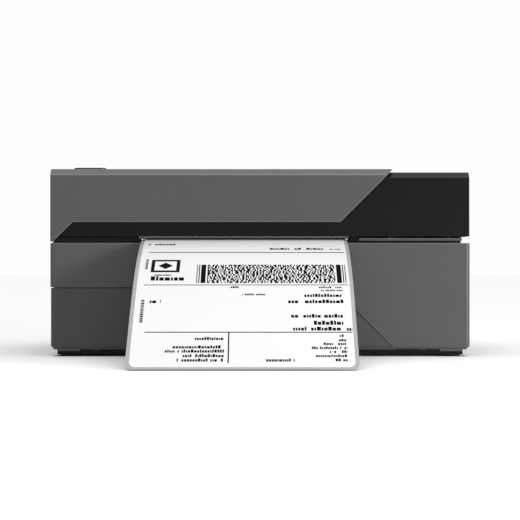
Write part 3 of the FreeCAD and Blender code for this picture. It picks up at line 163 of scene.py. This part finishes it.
def noise(tree, place, scale, detail=3.0):
    node = tree.nodes.new("ShaderNodeTexNoise")
    node.inputs["Scale"].default_value = scale
    node.inputs["Detail"].default_value = detail
    node.inputs["Roughness"].default_value = 0.55
    tree.links.new(place, node.inputs["Vector"])
    return node.outputs["Fac"]


def spread_of(tree, value, low, high):
    """Map a noise value, which stays near the middle, to a range."""
    node = tree.nodes.new("ShaderNodeMapRange")
    node.inputs["From Min"].default_value = NOISE_LOW
    node.inputs["From Max"].default_value = NOISE_HIGH
    node.inputs["To Min"].default_value = low
    node.inputs["To Max"].default_value = high
    tree.links.new(value, node.inputs["Value"])
    return node.outputs["Result"]


def tinted(tree, colour, amount):
    """The colour, made darker and lighter by an amount that varies over the surface."""
    node = tree.nodes.new("ShaderNodeMix")
    node.data_type = "RGBA"
    node.blend_type = "MULTIPLY"
    node.inputs["Factor"].default_value = 1.0
    node.inputs["A"].default_value = (*colour, 1.0)
    tree.links.new(amount, node.inputs["B"])
    return node.outputs["Result"]


def bump(tree, height, depth):
    node = tree.nodes.new("ShaderNodeBump")
    node.inputs["Strength"].default_value = 1.0
    node.inputs["Distance"].default_value = depth
    tree.links.new(height, node.inputs["Height"])
    return node.outputs["Normal"]


def surface(name, colour, rough, grain, depth, metal=0.0, mottle=0.03, coarse=60.0, stretch=(1, 1, 1),
            sheen=0.5):
    """A worked surface: fine grain in its bump and roughness, and a faint larger unevenness in its colour."""
    material, tree, shader = new_material(name)
    shader.inputs["Metallic"].default_value = metal
    shader.inputs["Specular IOR Level"].default_value = sheen
    place = tree.nodes.new("ShaderNodeTexCoord").outputs["Object"]
    mapping = tree.nodes.new("ShaderNodeMapping")
    mapping.inputs["Scale"].default_value = stretch
    tree.links.new(place, mapping.inputs["Vector"])
    fine = noise(tree, mapping.outputs["Vector"], grain)
    broad = noise(tree, place, coarse, 4.0)
    both = tree.nodes.new("ShaderNodeMath")
    both.operation = "MULTIPLY"
    tree.links.new(spread_of(tree, broad, 1 - mottle, 1 + mottle), both.inputs[0])
    tree.links.new(spread_of(tree, fine, 1 - mottle, 1 + mottle), both.inputs[1])
    tree.links.new(tinted(tree, colour, both.outputs["Value"]), shader.inputs["Base Color"])
    roughness = spread_of(tree, fine, rough - ROUGH_SPREAD, rough + ROUGH_SPREAD)
    tree.links.new(roughness, shader.inputs["Roughness"])
    tree.links.new(bump(tree, fine, depth), shader.inputs["Normal"])
    return material


def grey(value):
    return (value, value, value)


def moulded(name, value, rough=0.42, sheen=0.4):
    """Plastic from a spark-eroded mould."""
    return surface(name, grey(value), rough, 1100.0, 0.00003, mottle=0.035, coarse=90.0, sheen=sheen)


def circuit_board(name):
    """Green solder mask over copper tracks."""
    material, tree, shader = new_material(name)
    place = tree.nodes.new("ShaderNodeTexCoord").outputs["Object"]
    tracks = tree.nodes.new("ShaderNodeTexBrick")
    tracks.inputs["Scale"].default_value = 220.0
    tracks.inputs["Mortar Size"].default_value = 0.06
    tracks.inputs["Color1"].default_value = (0.01, 0.10, 0.04, 1)
    tracks.inputs["Color2"].default_value = (0.008, 0.085, 0.035, 1)
    tracks.inputs["Mortar"].default_value = (0.02, 0.19, 0.07, 1)
    tree.links.new(place, tracks.inputs["Vector"])
    tree.links.new(tracks.outputs["Color"], shader.inputs["Base Color"])
    cloud = noise(tree, place, 400.0)
    tree.links.new(spread_of(tree, cloud, 0.25, 0.4), shader.inputs["Roughness"])
    tree.links.new(bump(tree, tracks.outputs["Fac"], 0.00003), shader.inputs["Normal"])
    return material


def paper(name, value, rough, mottle):
    """Coated paper: fine fibres that hardly show."""
    return surface(name, grey(value), rough, 900.0, 0.00001, mottle=mottle, coarse=35.0, sheen=0.3)


# Each surface is given its name, colour, roughness, grain scale and bump depth.
MATERIALS = {
    "case_grey": moulded("case_grey", 0.074),
    "panel_grey": moulded("panel_grey", 0.058),
    "black_plastic": moulded("black_plastic", 0.0045, 0.36, 0.19),
    "foot_rubber": surface("foot_rubber", grey(0.012), 0.8, 2500.0, 0.00004, sheen=0.3),
    "platen_rubber": surface(
        "platen_rubber", grey(0.018), 0.75, 900.0, 0.00004, stretch=(1, 6, 6), sheen=0.3
    ),
    "shaft_steel": surface("shaft_steel", grey(0.55), 0.28, 1200.0, 0.000008, metal=1.0, stretch=(6, 1, 1)),
    "zinc_steel": surface("zinc_steel", (0.52, 0.54, 0.56), 0.38, 500.0, 0.000015, metal=1.0, mottle=0.08),
    "screw_steel": surface("screw_steel", grey(0.42), 0.32, 1500.0, 0.00001, metal=1.0),
    "tear_steel": surface("tear_steel", grey(0.4), 0.3, 900.0, 0.00001, metal=1.0, stretch=(1, 1, 8)),
    "spring_steel": surface("spring_steel", grey(0.4), 0.3, 2000.0, 0.000006, metal=1.0),
    "motor_steel": surface("motor_steel", grey(0.03), 0.42, 900.0, 0.00002, metal=0.6),
    "heatsink_aluminium": surface(
        "heatsink_aluminium", (0.62, 0.63, 0.65), 0.4, 800.0, 0.00001, metal=1.0, stretch=(0.1, 3, 3)
    ),
    "nylon": surface("nylon", (0.62, 0.60, 0.54), 0.45, 1200.0, 0.00002),
    "bush_plastic": surface("bush_plastic", (0.12, 0.095, 0.07), 0.5, 1200.0, 0.00002),
    "circuit_board": circuit_board("circuit_board"),
    "chip_black": surface("chip_black", grey(0.012), 0.6, 3000.0, 0.00002, sheen=0.3),
    "connector_ivory": surface("connector_ivory", (0.68, 0.64, 0.52), 0.42, 1500.0, 0.00002),
    "capacitor_can": surface(
        "capacitor_can", (0.45, 0.46, 0.5), 0.35, 600.0, 0.00001, metal=1.0, stretch=(1, 1, 6)
    ),
    "socket_steel": surface("socket_steel", grey(0.55), 0.3, 1400.0, 0.00001, metal=1.0, mottle=0.06),
    "head_ceramic": surface("head_ceramic", (0.035, 0.031, 0.028), 0.25, 700.0, 0.00001),
    "label_paper": paper("label_paper", 0.70, 0.6, 0.006),
    "liner_paper": paper("liner_paper", 0.33, 0.5, 0.03),
    "cable_sheath": surface("cable_sheath", grey(0.02), 0.5, 900.0, 0.00003, stretch=(4, 4, 1)),
    "button_plastic": surface("button_plastic", grey(0.02), 0.3, 1500.0, 0.00001),
}
# Glossier and lighter grey for the rounded edges of case grey shells: the gloss is the plastic's own, and the
# lighter colour is a painted highlight along the edges.
CASE_EDGE_HIGHLIGHT = moulded("case_edge_highlight", 0.15, 0.34, 0.45)
MARK_WHITE = surface("mark_white", grey(0.6), 0.5, 1500.0, 0.00001)
# Near-black for the flat crosses on the screw heads: painted shade of cross recesses, which are not cut.
RECESS_SHADE = surface("screw_recess_shade", grey(0.02), 0.6, 1500.0, 0.00001, metal=0.5)
GILDING = surface("contact_gilding", (0.72, 0.5, 0.2), 0.3, 1500.0, 0.000005, metal=1.0)
GLAZE = surface("head_glaze", (0.24, 0.2, 0.16), 0.16, 900.0, 0.000004)
RESIN = surface("driver_resin", grey(0.006), 0.3, 700.0, 0.00002)
SOLDER = surface("solder_tin", grey(0.6), 0.35, 1500.0, 0.00001, metal=1.0, mottle=0.08)
INK = surface("print_black", grey(0.003), 0.75, 1800.0, 0.000006, mottle=0.1, sheen=0.05)

SLOT_OF = {part["node"]: part["material_slot"] for part in RECORD["subparts"]}
for node_name, item in NODES.items():
    for held in item.material_slots:
        held.material = MATERIALS[SLOT_OF[node_name]]
    item.data.polygons.foreach_set("use_smooth", [True] * len(item.data.polygons))
    item.data.set_sharp_from_angle(angle=math.radians(32))


# Moulded and pressed shells with rounded edges

# Points this near are one, and faces this near to flat are joined.
MERGE_WITHIN = 0.002 * MM
FLAT_WITHIN = math.radians(1.0)


def rounded(node_name, width, sharp):
    """A copy of a CAD node's skin with each sharp edge rounded; it stands for the node."""
    source = NODES[node_name]
    mesh = source.data.copy()
    skin = bmesh.new()
    skin.from_mesh(mesh)
    bmesh.ops.remove_doubles(skin, verts=skin.verts[:], dist=MERGE_WITHIN)
    bmesh.ops.dissolve_limit(skin, angle_limit=FLAT_WITHIN, verts=skin.verts[:], edges=skin.edges[:])
    bmesh.ops.connect_verts_concave(skin, faces=skin.faces[:])
    for face in skin.faces:
        face.smooth = True
    for edge in skin.edges:
        edge.smooth = True
    skin.to_mesh(mesh)
    skin.free()
    piece = new_piece(node_name + "_skin", mesh, source["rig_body"])
    bevel = piece.modifiers.new("round_edges", "BEVEL")
    bevel.limit_method = "ANGLE"
    bevel.angle_limit = math.radians(sharp)
    bevel.width = width
    bevel.segments = 3
    bevel.use_clamp_overlap = False
    bevel.miter_outer = "MITER_ARC"
    # On case grey shells the rounded faces take the lighter edge grey, a painted highlight.
    if SLOT_OF[node_name] == "case_grey":
        mesh.materials.append(CASE_EDGE_HIGHLIGHT)
        bevel.material = 1
    flat = piece.modifiers.new("flat_faces", "WEIGHTED_NORMAL")
    flat.weight = 100
    flat.keep_sharp = False
    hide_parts(node_name)


# Each shell's edge radius, and the least angle between two faces that gets it.
SHELLS = {
    "lid_cover": (0.35 * MM, 32),
    "lid_frame": (0.35 * MM, 32),
    "base_shell": (0.3 * MM, 60),
    "front_lower_panel": (0.25 * MM, 32),
    "right_deck_cover": (0.2 * MM, 32),
    "feed_button": (0.3 * MM, 45),
    "power_rocker": (0.25 * MM, 45),
    "switch_housing": (0.25 * MM, 45),
}
for node_name, (width, sharp) in SHELLS.items():
    rounded(node_name, width, sharp)


# The strip of labels: level over the platen, then three arcs that steepen to the table.

STRIP_BACK = 4 * MM
STRIP_BEND = -40 * MM
STRIP_LEVEL = 60.2 * MM
STRIP_ARCS = ((18, 68 * MM), (40, 140 * MM), (42.5, 1060 * MM))
PAPER = 0.1 * MM
STRIP_CENTRE = (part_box("label_liner")[0].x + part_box("label_liner")[1].x) / 2
LINER_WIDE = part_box("label_liner")[1].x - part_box("label_liner")[0].x
LABEL_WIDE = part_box("printed_label")[1].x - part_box("printed_label")[0].x
LABEL_MARGIN = 1.4 * MM
LINER_CORNER = 4 * MM
LABEL_CORNER = 3 * MM


def strip_length():
    """How long the strip is from its back end, along its level part and its arcs, to its front end."""
    slopes = [0] + [math.radians(slope) for slope, _ in STRIP_ARCS]
    turned = sum(
        (after - before) * radius
        for before, after, (_, radius) in zip(slopes, slopes[1:], STRIP_ARCS)
    )
    return STRIP_BACK - STRIP_BEND + turned


STRIP_LONG = strip_length()


def on_strip(across, from_end, lift):
    """The point on the strip that far from its front end, across its middle, lifted off its underside."""
    left = STRIP_LONG - from_end
    y, z, slope = STRIP_BACK, STRIP_LEVEL, 0.0
    level = min(left, STRIP_BACK - STRIP_BEND)
    y -= level
    left -= level
    for finish, radius in STRIP_ARCS:
        turn = min(left / radius, math.radians(finish) - slope)
        if turn <= 0:
            break
        y += radius * (math.sin(slope) - math.sin(slope + turn))
        z += radius * (math.cos(slope + turn) - math.cos(slope))
        slope += turn
        left -= turn * radius
    return Vector((STRIP_CENTRE + across, y - lift * math.sin(slope), z + lift * math.cos(slope)))


def sheet_of_paper(name, wide, front, back, lift, corner, material):
    """A closed thin sheet along the strip, with round corners at its front end."""
    half = wide / 2
    side = [(half - corner + corner * math.sin(math.radians(a)), corner * (1 - math.cos(math.radians(a))))
            for a in range(90, -1, -10)]
    columns = [(-x, d) for x, d in side] + [(-half / 3, 0.0), (half / 3, 0.0)] + side[::-1]
    rows = 90
    points = []
    for thick in (0.0, PAPER):
        for row in range(rows + 1):
            share = row / rows
            for x, trim in columns:
                start = front + trim
                points.append(on_strip(x, start + (back - start) * share, lift + thick))
    across = len(columns)
    layer = across * (rows + 1)
    faces = []
    for row in range(rows):
        for column in range(across - 1):
            at = row * across + column
            faces.append([at + across, at + across + 1, at + 1, at])
            faces.append([layer + at, layer + at + 1, layer + at + across + 1, layer + at + across])
    rim = list(range(across))
    rim += [row * across + across - 1 for row in range(1, rows + 1)]
    rim += [rows * across + column for column in range(across - 2, -1, -1)]
    rim += [row * across for row in range(rows - 1, 0, -1)]
    for one, two in zip(rim, rim[1:] + rim[:1]):
        faces.append([one, two, layer + two, layer + one])
    mesh = mesh_from(name, points, faces, smooth=True)
    mesh.set_sharp_from_angle(angle=math.radians(40))
    return new_piece(name, mesh, "base", [material])


LABEL_BACK = STRIP_LONG - (STRIP_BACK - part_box("printed_label")[1].y)
liner = sheet_of_paper("liner_strip", LINER_WIDE, 0.0, STRIP_LONG, 0.0, LINER_CORNER,
                       MATERIALS["liner_paper"])
label = sheet_of_paper("shipping_label", LABEL_WIDE, LABEL_MARGIN, LABEL_BACK, PAPER, LABEL_CORNER,
                       MATERIALS["label_paper"])
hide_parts("label_liner")
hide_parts("printed_label")


# What is printed on the label: rules, a frame, a block code and lines of plain bars in place of words.

INK_LIFT = 2 * PAPER + 0.015 * MM
INK_STEP = 2.5 * MM
# In a line of bars, in line heights: the shortest bar, the heights drawn from, and the gap after each bar.
SHORTEST_BAR = 0.3
BAR_HEIGHTS = (0.85, 0.85, 1.15)
BAR_GAP = 0.15
# The share of bars left out, and the least room for one.
BLANK_SHARE = 0.12
LEAST_ROOM = 0.2 * MM


class Print:
    """Thin marks that follow the label; across is from its middle, far is from the strip's front end."""

    def __init__(self):
        self.points = []
        self.faces = []

    def mark(self, left, right, near, far):
        steps = max(1, math.ceil((far - near) / INK_STEP))
        first = len(self.points)
        for step in range(steps + 1):
            at = near + (far - near) * step / steps
            self.points += [on_strip(left, at, INK_LIFT), on_strip(right, at, INK_LIFT)]
        self.faces += [[first + 2 * step + corner for corner in (2, 3, 1, 0)] for step in range(steps)]

    def shape(self, outline):
        """A small filled polygon of (across, far) points, given anticlockwise as seen on the label."""
        first = len(self.points)
        self.points += [on_strip(across, far, INK_LIFT) for across, far in outline]
        self.faces.append([first + index for index in range(len(outline))])

    def words(self, left, right, near, tall, chance, longest):
        """A row of short bars in place of words, each at most so many line heights long."""
        at = left
        while at < right - LEAST_ROOM:
            wide = min(tall * chance.uniform(SHORTEST_BAR, longest), right - at)
            high = tall * chance.choice(BAR_HEIGHTS)
            if chance.random() > BLANK_SHARE:
                self.mark(at, at + wide, near, near + high)
            at += wide + tall * BAR_GAP


def block_code(ink, left, right, near, far, rows, chance):
    """A stacked block code of random bars, with thick and thin bars down both sides."""
    tall = (far - near) / rows
    module = 0.56 * MM
    margin = 5.2 * MM
    for row in range(rows):
        at = left + margin
        while at < right - margin:
            wide = module * chance.choice((1, 1, 1, 2, 2, 3))
            stop = min(at + wide, right - margin)
            ink.mark(at, stop, near + row * tall, near + (row + 1) * tall)
            at = stop + module * chance.choice((1, 1, 1, 2))
    for side in (-1, 1):
        edge = left if side < 0 else right
        for start, wide in ((0.0, 0.4), (1.0, 0.5), (2.1, 2.3)):
            one = edge - side * start * MM
            two = one - side * wide * MM
            ink.mark(min(one, two), max(one, two), near, far)


# The label's layout in millimetres, across from its middle and away from the strip's front end.
# Rules: left, right, distance, thickness.
RULES = ((-47.4, 50.0, 88.4, 0.8), (-47.4, 50.2, 56.4, 0.55), (-45.0, 50.4, 23.2, 0.6))
# Filled boxes: left, right, near side, far side.
UPRIGHT_RULE = (-6.6, -6.0, 3.9, 23.3)
FRAME_SIDES = (
    (-45, -31, 67.5, 69.2), (-45, -31, 78.2, 79.9), (-45, -43.3, 69.2, 78.2), (-32.7, -31, 69.2, 78.2),
)
BLOCK_CODE = (-22.6, 49.4, 58.2, 74.8)
BLOCK_ROWS = 13
# A diamond: its middle, and its half width and half depth.
DIAMOND_AT = (-38.0, 73.7)
DIAMOND_HALF = (3.6, 3.2)
# Lines of bars: left, right, distance, height, and the longest bar in heights.
HEADING = ((-48.3, -32.1, 99.5, 2.4, 0.9), (13.0, 39.7, 92.6, 2.2, 0.9), (42.7, 48.6, 92.6, 1.3, 0.75))
UNDER_FRAME = ((-44.5, -27.3, 60.2, 3.2, 1.1), (-43.0, -33.0, 64.3, 1.2, 0.75))
SMALL_LINES = (
    (36, 47.2, 54.2, 1.2, 0.75), (37, 47.2, 51.8, 1.2, 0.75), (-6.8, -2.0, 54.2, 1.3, 0.75),
    (-0.5, 10.4, 48.8, 1.3, 0.75),
)
ADDRESS_LINES = (
    (28.9, 46.9, 47.6, 2.0, 0.85), (21.2, 47.2, 43.2, 2.2, 0.85), (-43.9, -38.7, 43.2, 2.2, 0.85),
    (22.5, 46.9, 33.2, 2.2, 0.85), (29.3, 47.0, 28.4, 2.4, 0.85), (23.2, 46.8, 24.6, 2.2, 0.85),
    (47.9, 50.5, 24.4, 1.6, 0.85),
)
FOOT_LINES = (
    (-21.8, -8.5, 18.4, 1.7, 0.75), (-33.0, -8.4, 13.0, 1.7, 0.75), (-35.1, -8.3, 10.4, 1.7, 0.75),
    (-26.9, -8.3, 7.5, 1.7, 0.75), (-29.5, -8.2, 4.8, 1.7, 0.75), (10.7, 23.6, 4.8, 1.7, 0.75),
    (44.6, 47.5, 20.4, 1.45, 0.75), (44.0, 47.7, 17.6, 1.45, 0.75), (37.0, 47.6, 15.2, 1.45, 0.75),
    (31.5, 47.6, 12.6, 1.45, 0.75), (39.5, 47.5, 10.2, 1.45, 0.75), (33.2, 47.5, 7.6, 1.45, 0.75),
    (42.0, 47.8, 5.0, 1.45, 0.75),
)
# Short columns up the left edge, as filled boxes with a gap after each.
EDGE_COLUMNS = ((-47.9, -46.4, 30.0, 45.0), (-47.9, -46.6, 70.5, 80.0))
EDGE_GAP = 0.35


def printing():
    """Everything on the label, in one piece; the order of the calls is the order of the random draws."""
    chance = random.Random(4)
    ink = Print()

    def fill(left, right, near, far):
        ink.mark(left * MM, right * MM, near * MM, far * MM)

    def lines(rows):
        for left, right, at, tall, longest in rows:
            ink.words(left * MM, right * MM, at * MM, tall * MM, chance, longest)

    for left, right, at, thick in RULES:
        fill(left, right, at, at + thick)
    fill(*UPRIGHT_RULE)
    lines(HEADING)
    for side in FRAME_SIDES:
        fill(*side)
    centre, far = DIAMOND_AT
    wide, deep = DIAMOND_HALF
    diamond = ((centre - wide, far), (centre, far - deep), (centre + wide, far), (centre, far + deep))
    ink.shape([(x * MM, away * MM) for x, away in diamond])
    lines(UNDER_FRAME)
    block_code(ink, *(edge * MM for edge in BLOCK_CODE), BLOCK_ROWS, chance)
    for rows in (SMALL_LINES, ADDRESS_LINES, FOOT_LINES):
        lines(rows)
    for left, right, near, far in EDGE_COLUMNS:
        at = near
        while at < far:
            tall = chance.uniform(0.5, 1.1)
            fill(left, right, at, at + tall)
            at += tall + EDGE_GAP
    mesh = mesh_from("label_print", ink.points, ink.faces)
    return new_piece("label_print", mesh, "base", [INK])


label_print = printing()


# Small details on the CAD nodes: dark crosses in painted shade for the screw recesses, rocker marks,
# contacts, the print head's line, parts on the board, the inner cover's ribs, and the head springs.

# Each set of screws, the radius of its heads in millimetres, and its body.
SCREW_SETS = (("case_screws", 2.4, "base"), ("lid_screws", 2.6, "lid"), ("bracket_screws", 2.6, "lid"))


def recess_shade_crosses(name, node, spots, face, body, radius):
    """Flat dark crosses, thin plates at the undersides of a set of screw heads: painted shade where cross
    recesses would be.
    """
    crosses = Shape()
    thin = 0.06 * MM
    arm = 0.28 * radius
    for x, y in spots:
        for wide, deep in ((radius, arm), (arm, radius)):
            near = (x - wide / 2, y - deep / 2, face - thin)
            crosses.box(near, (x + wide / 2, y + deep / 2, face + thin), 0.02 * MM)
    crosses.piece(name, body, SLOT_OF[node], RECESS_SHADE)


def corners_of(node, inset):
    """The four outermost screw centres of a set of screws."""
    low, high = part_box(node)
    return [(x, y) for x in (low.x + inset, high.x - inset) for y in (low.y + inset, high.y - inset)]


def screw_details():
    for node, inset, body in SCREW_SETS:
        spots = corners_of(node, inset * MM)
        recess_shade_crosses(node + "_recess_shade", node, spots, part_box(node)[0].z, body, inset * MM)


# The rocker in millimetres: its pivot, its turn at rest, and its cap, a shallow V 3.6 out from the pivot in
# the middle that rises to its two ends. The marks start 0.05 under it.
ROCKER_PIVOT = (69.5, 48.7, 22.0)
ROCKER_TURN = math.radians(-8)
CAP_HALF = 6.5
CAP_RISE = 0.8
MARK_BASE = 3.55
MARK_ASIDE = 3.4
# The bar is a row of dots, so many either side of its middle; the ring is a circle of them.
BAR_DOTS = 5
BAR_PITCH = 0.3
RING_RADIUS = 1.2
RING_DOTS = 28


def rocker_marks():
    """A bar and a ring on the two halves of the rocker, turned with it."""
    pivot = Vector(ROCKER_PIVOT) * MM
    across = Vector((math.cos(ROCKER_TURN), math.sin(ROCKER_TURN), 0))
    outward = Vector((-math.sin(ROCKER_TURN), math.cos(ROCKER_TURN), 0))
    mark = ((0, 0.24 * MM), (0.12 * MM, 0.24 * MM), (0.16 * MM, 0.18 * MM))

    def on_face(aside, up):
        """A point on the rocker's shallow V, just under its surface."""
        out = MARK_BASE + CAP_RISE * abs(aside) / CAP_HALF
        return pivot + (across * aside + outward * out + Vector((0, 0, up))) * MM

    bar = Shape()
    for step in range(-BAR_DOTS, BAR_DOTS + 1):
        bar.lathe(on_face(-MARK_ASIDE, step * BAR_PITCH), outward, mark, 12)
    bar.piece("rocker_bar", "power_rocker", None, MARK_WHITE)
    ring = Shape()
    for step in range(RING_DOTS):
        around = 2 * math.pi * step / RING_DOTS
        dot = on_face(MARK_ASIDE + RING_RADIUS * math.cos(around), RING_RADIUS * math.sin(around))
        ring.lathe(dot, outward, mark, 10)
    ring.piece("rocker_ring", "power_rocker", None, MARK_WHITE)


# The sockets in millimetres: the contacts' places across, their half width, their front and back, and their
# undersides and tops; then where the inlet's sleeve starts, and its profile.
CONTACTS_AT = (-21.4, -18.6)
CONTACT_HALF = 0.55
CONTACT_REACH = (44.0, 50.8)
CONTACT_LEVELS = ((17.3, 17.42), (13.98, 14.1))
SLEEVE_START = (-50, 43.1, 16)
SLEEVE = ((0, 3.14), (9.2, 3.14), (9.3, 3.05), (9.3, 2.8), (0.1, 2.8), (0, 2.8))


def socket_details():
    """Four contacts on the USB tongue, and the sleeve inside the power inlet."""
    contacts = Shape()
    front, back = CONTACT_REACH
    for x in CONTACTS_AT:
        for low, high in CONTACT_LEVELS:
            near = Vector((x - CONTACT_HALF, front, low)) * MM
            contacts.box(near, Vector((x + CONTACT_HALF, back, high)) * MM, 0.04 * MM)
    contacts.piece("usb_contacts", "base", None, GILDING)
    sleeve = Shape()
    profile = [(along * MM, radius * MM) for along, radius in SLEEVE]
    sleeve.lathe(Vector(SLEEVE_START) * MM, (0, 1, 0), profile, 40)
    sleeve.piece("inlet_sleeve", "base", None, SOLDER)


# Bands across the print head's underside, in millimetres: name, inset at each end, front, back, how far it
# stands out, how far it reaches in, edge radius, material.
HEAD_BANDS = (
    ("head_glaze_band", 1.5, -41.2, -38.8, 0.04, 0.1, 0.03, GLAZE),
    ("head_heater_line", 3, -40.15, -39.85, 0.07, 0, 0.02, RESIN),
    ("head_driver_resin", 4, -35.5, -32.2, 0.12, 0.1, 0.1, RESIN),
)


def head_details():
    """The glazed band, its heater line, and the resin over the driver chips."""
    low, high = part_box("print_head_board")
    for name, inset, front, back, out, sunk, edge, material in HEAD_BANDS:
        band = Shape()
        near = (low.x + inset * MM, front * MM, low.z - out * MM)
        band.box(near, (high.x - inset * MM, back * MM, low.z + sunk * MM), edge * MM)
        band.piece(name, "print_head", None, material)


# The three chips with leads, in millimetres: left, right, front, back, lead pitch.
CHIPS = ((-30, -16, 16, 30, 1.0), (-8, 2, 18, 26, 1.27), (10, 17, 22, 29, 1.0))
FIRST_LEAD = 1
LEAD_ROOM = 1.5
LEAD_LONG = 1.1
LEAD_HALF = 0.18
LEAD_TALL = 0.35
# The small parts stand in a loose grid, in millimetres, with a stretch kept clear for a capacitor.
PARTS_START = (-27, 33.5)
PARTS_PITCH = (4.4, 3.4)
PARTS_COLUMNS, PARTS_ROWS = 9, 3
PARTS_SHARE = 0.75
PARTS_SWAY = (0.6, 0.4)
PARTS_CLEAR = (-2, 11)
PART_SIZE = (1.6, 0.8, 0.5)


def chip_leads(level):
    """Rows of leads along the front and back of the chips."""
    leads = Shape()
    for left, right, front, back, pitch in CHIPS:
        count = int((right - left - LEAD_ROOM) / pitch)
        for step in range(count + 1):
            x = (left + FIRST_LEAD + step * pitch) * MM
            for start in ((front - LEAD_LONG) * MM, back * MM):
                near = (x - LEAD_HALF * MM, start, level)
                far = (x + LEAD_HALF * MM, start + LEAD_LONG * MM, level + LEAD_TALL * MM)
                leads.box(near, far, 0.05 * MM)
    leads.piece("chip_leads", "base", None, SOLDER)


def small_parts(level):
    """Small surface-mounted parts, at places that vary a little from a grid."""
    chance = random.Random(11)
    parts = Shape()
    on_board = Vector((0, 0, level))
    long, wide, tall = PART_SIZE
    aside, along = PARTS_SWAY
    for column in range(PARTS_COLUMNS):
        for row in range(PARTS_ROWS):
            if chance.random() < PARTS_SHARE:
                x = PARTS_START[0] + column * PARTS_PITCH[0] + chance.uniform(-aside, aside)
                y = PARTS_START[1] + row * PARTS_PITCH[1] + chance.uniform(-along, along)
                if x < PARTS_CLEAR[0] or x > PARTS_CLEAR[1]:
                    far = Vector((x + long, y + wide, tall)) * MM + on_board
                    parts.box(Vector((x, y, 0)) * MM + on_board, far, 0.06 * MM)
    parts.piece("board_small_parts", "base", None, MATERIALS["bush_plastic"])


def board_details():
    """Leads of the chips and small surface-mounted parts on the main board."""
    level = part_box("main_board")[1].z
    chip_leads(level)
    small_parts(level)


# The inner cover's ribs in millimetres: their left sides, width, front and back.
RIBS_AT = (-60, -40, -20, 4, 24, 44)
RIB_WIDE = 1.6
RIB_FRONT = -13
RIB_BACK = 42


def inner_ribs():
    """Shallow ribs that guide the paper under the lid's inner cover."""
    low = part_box("lid_inner_cover")[0].z
    ribs = Shape()
    for x in RIBS_AT:
        near = (x * MM, RIB_FRONT * MM, low - 0.5 * MM)
        ribs.box(near, ((x + RIB_WIDE) * MM, RIB_BACK * MM, low + 0.2 * MM), 0.18 * MM)
    ribs.piece("inner_cover_ribs", "lid", "black_plastic", MATERIALS["black_plastic"])


def head_springs():
    """The three coils between the bracket and the print head, copied from the CAD node into a mesh of their
    own.
    """
    coils = new_piece("head_spring_coils", NODES["head_springs"].data.copy(), "lid")
    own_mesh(coils)
    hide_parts("head_springs")


screw_details()
head_springs()
rocker_marks()
socket_details()
head_details()
board_details()
inner_ribs()


# Floor, light and camera

FLOOR_HALF = 4.0
# The surround's strength as light, and as the camera sees it.
LIT = 0.2
SEEN = 0.985
# The camera is level, in front of the middle of the case.
EYE = (0, -0.753, 0.04945)
FOCAL_LENGTH = 94.74


def floor():
    half = FLOOR_HALF
    corners = [(-half, -half, 0), (half, -half, 0), (half, half, 0), (-half, half, 0)]
    plane = bpy.data.objects.new("floor", mesh_from("floor", corners, [[0, 1, 2, 3]]))
    scene.collection.objects.link(plane)
    white = surface("floor_white", grey(0.93), 0.9, 200.0, 0.00001, mottle=0.004, sheen=0.1)
    plane.data.materials.append(white)


def softbox(name, place, target, size, power):
    light = bpy.data.lights.new(name, "AREA")
    light.shape = "RECTANGLE"
    light.size, light.size_y = size
    light.energy = power
    lamp = bpy.data.objects.new(name, light)
    lamp.location = place
    lamp.rotation_euler = (Vector(target) - Vector(place)).to_track_quat("-Z", "Y").to_euler()
    lamp.visible_camera = False
    scene.collection.objects.link(lamp)


def studio():
    """An even pale surround that is seen brighter than it lights."""
    world = bpy.data.worlds.new("studio")
    scene.world = world
    world.use_nodes = True
    tree = world.node_tree
    background = tree.nodes["Background"]
    background.inputs["Color"].default_value = (1, 1, 1, 1)
    seen = tree.nodes.new("ShaderNodeLightPath").outputs["Is Camera Ray"]
    strength = tree.nodes.new("ShaderNodeMapRange")
    strength.inputs["To Min"].default_value = LIT
    strength.inputs["To Max"].default_value = SEEN
    tree.links.new(seen, strength.inputs["Value"])
    tree.links.new(strength.outputs["Result"], background.inputs["Strength"])


def camera():
    lens = bpy.data.cameras.new("camera")
    lens.lens = FOCAL_LENGTH
    lens.clip_start = 0.01
    lens.clip_end = 20
    eye = bpy.data.objects.new("camera", lens)
    eye.location = EYE
    eye.rotation_euler = (math.radians(90), 0, 0)
    scene.collection.objects.link(eye)
    scene.camera = eye


def overhead():
    """A broad even light from above, as from a bright ceiling."""
    light = bpy.data.lights.new("overhead", "SUN")
    light.energy = 2.7
    light.angle = math.radians(80)
    lamp = bpy.data.objects.new("overhead", light)
    lamp.rotation_euler = (math.radians(8), math.radians(3), 0)
    scene.collection.objects.link(lamp)


floor()
studio()
overhead()
softbox("right_light", place=(1.0, -0.9, 0.16), target=(0, 0, 0.05), size=(0.4, 0.25), power=12.0)
camera()
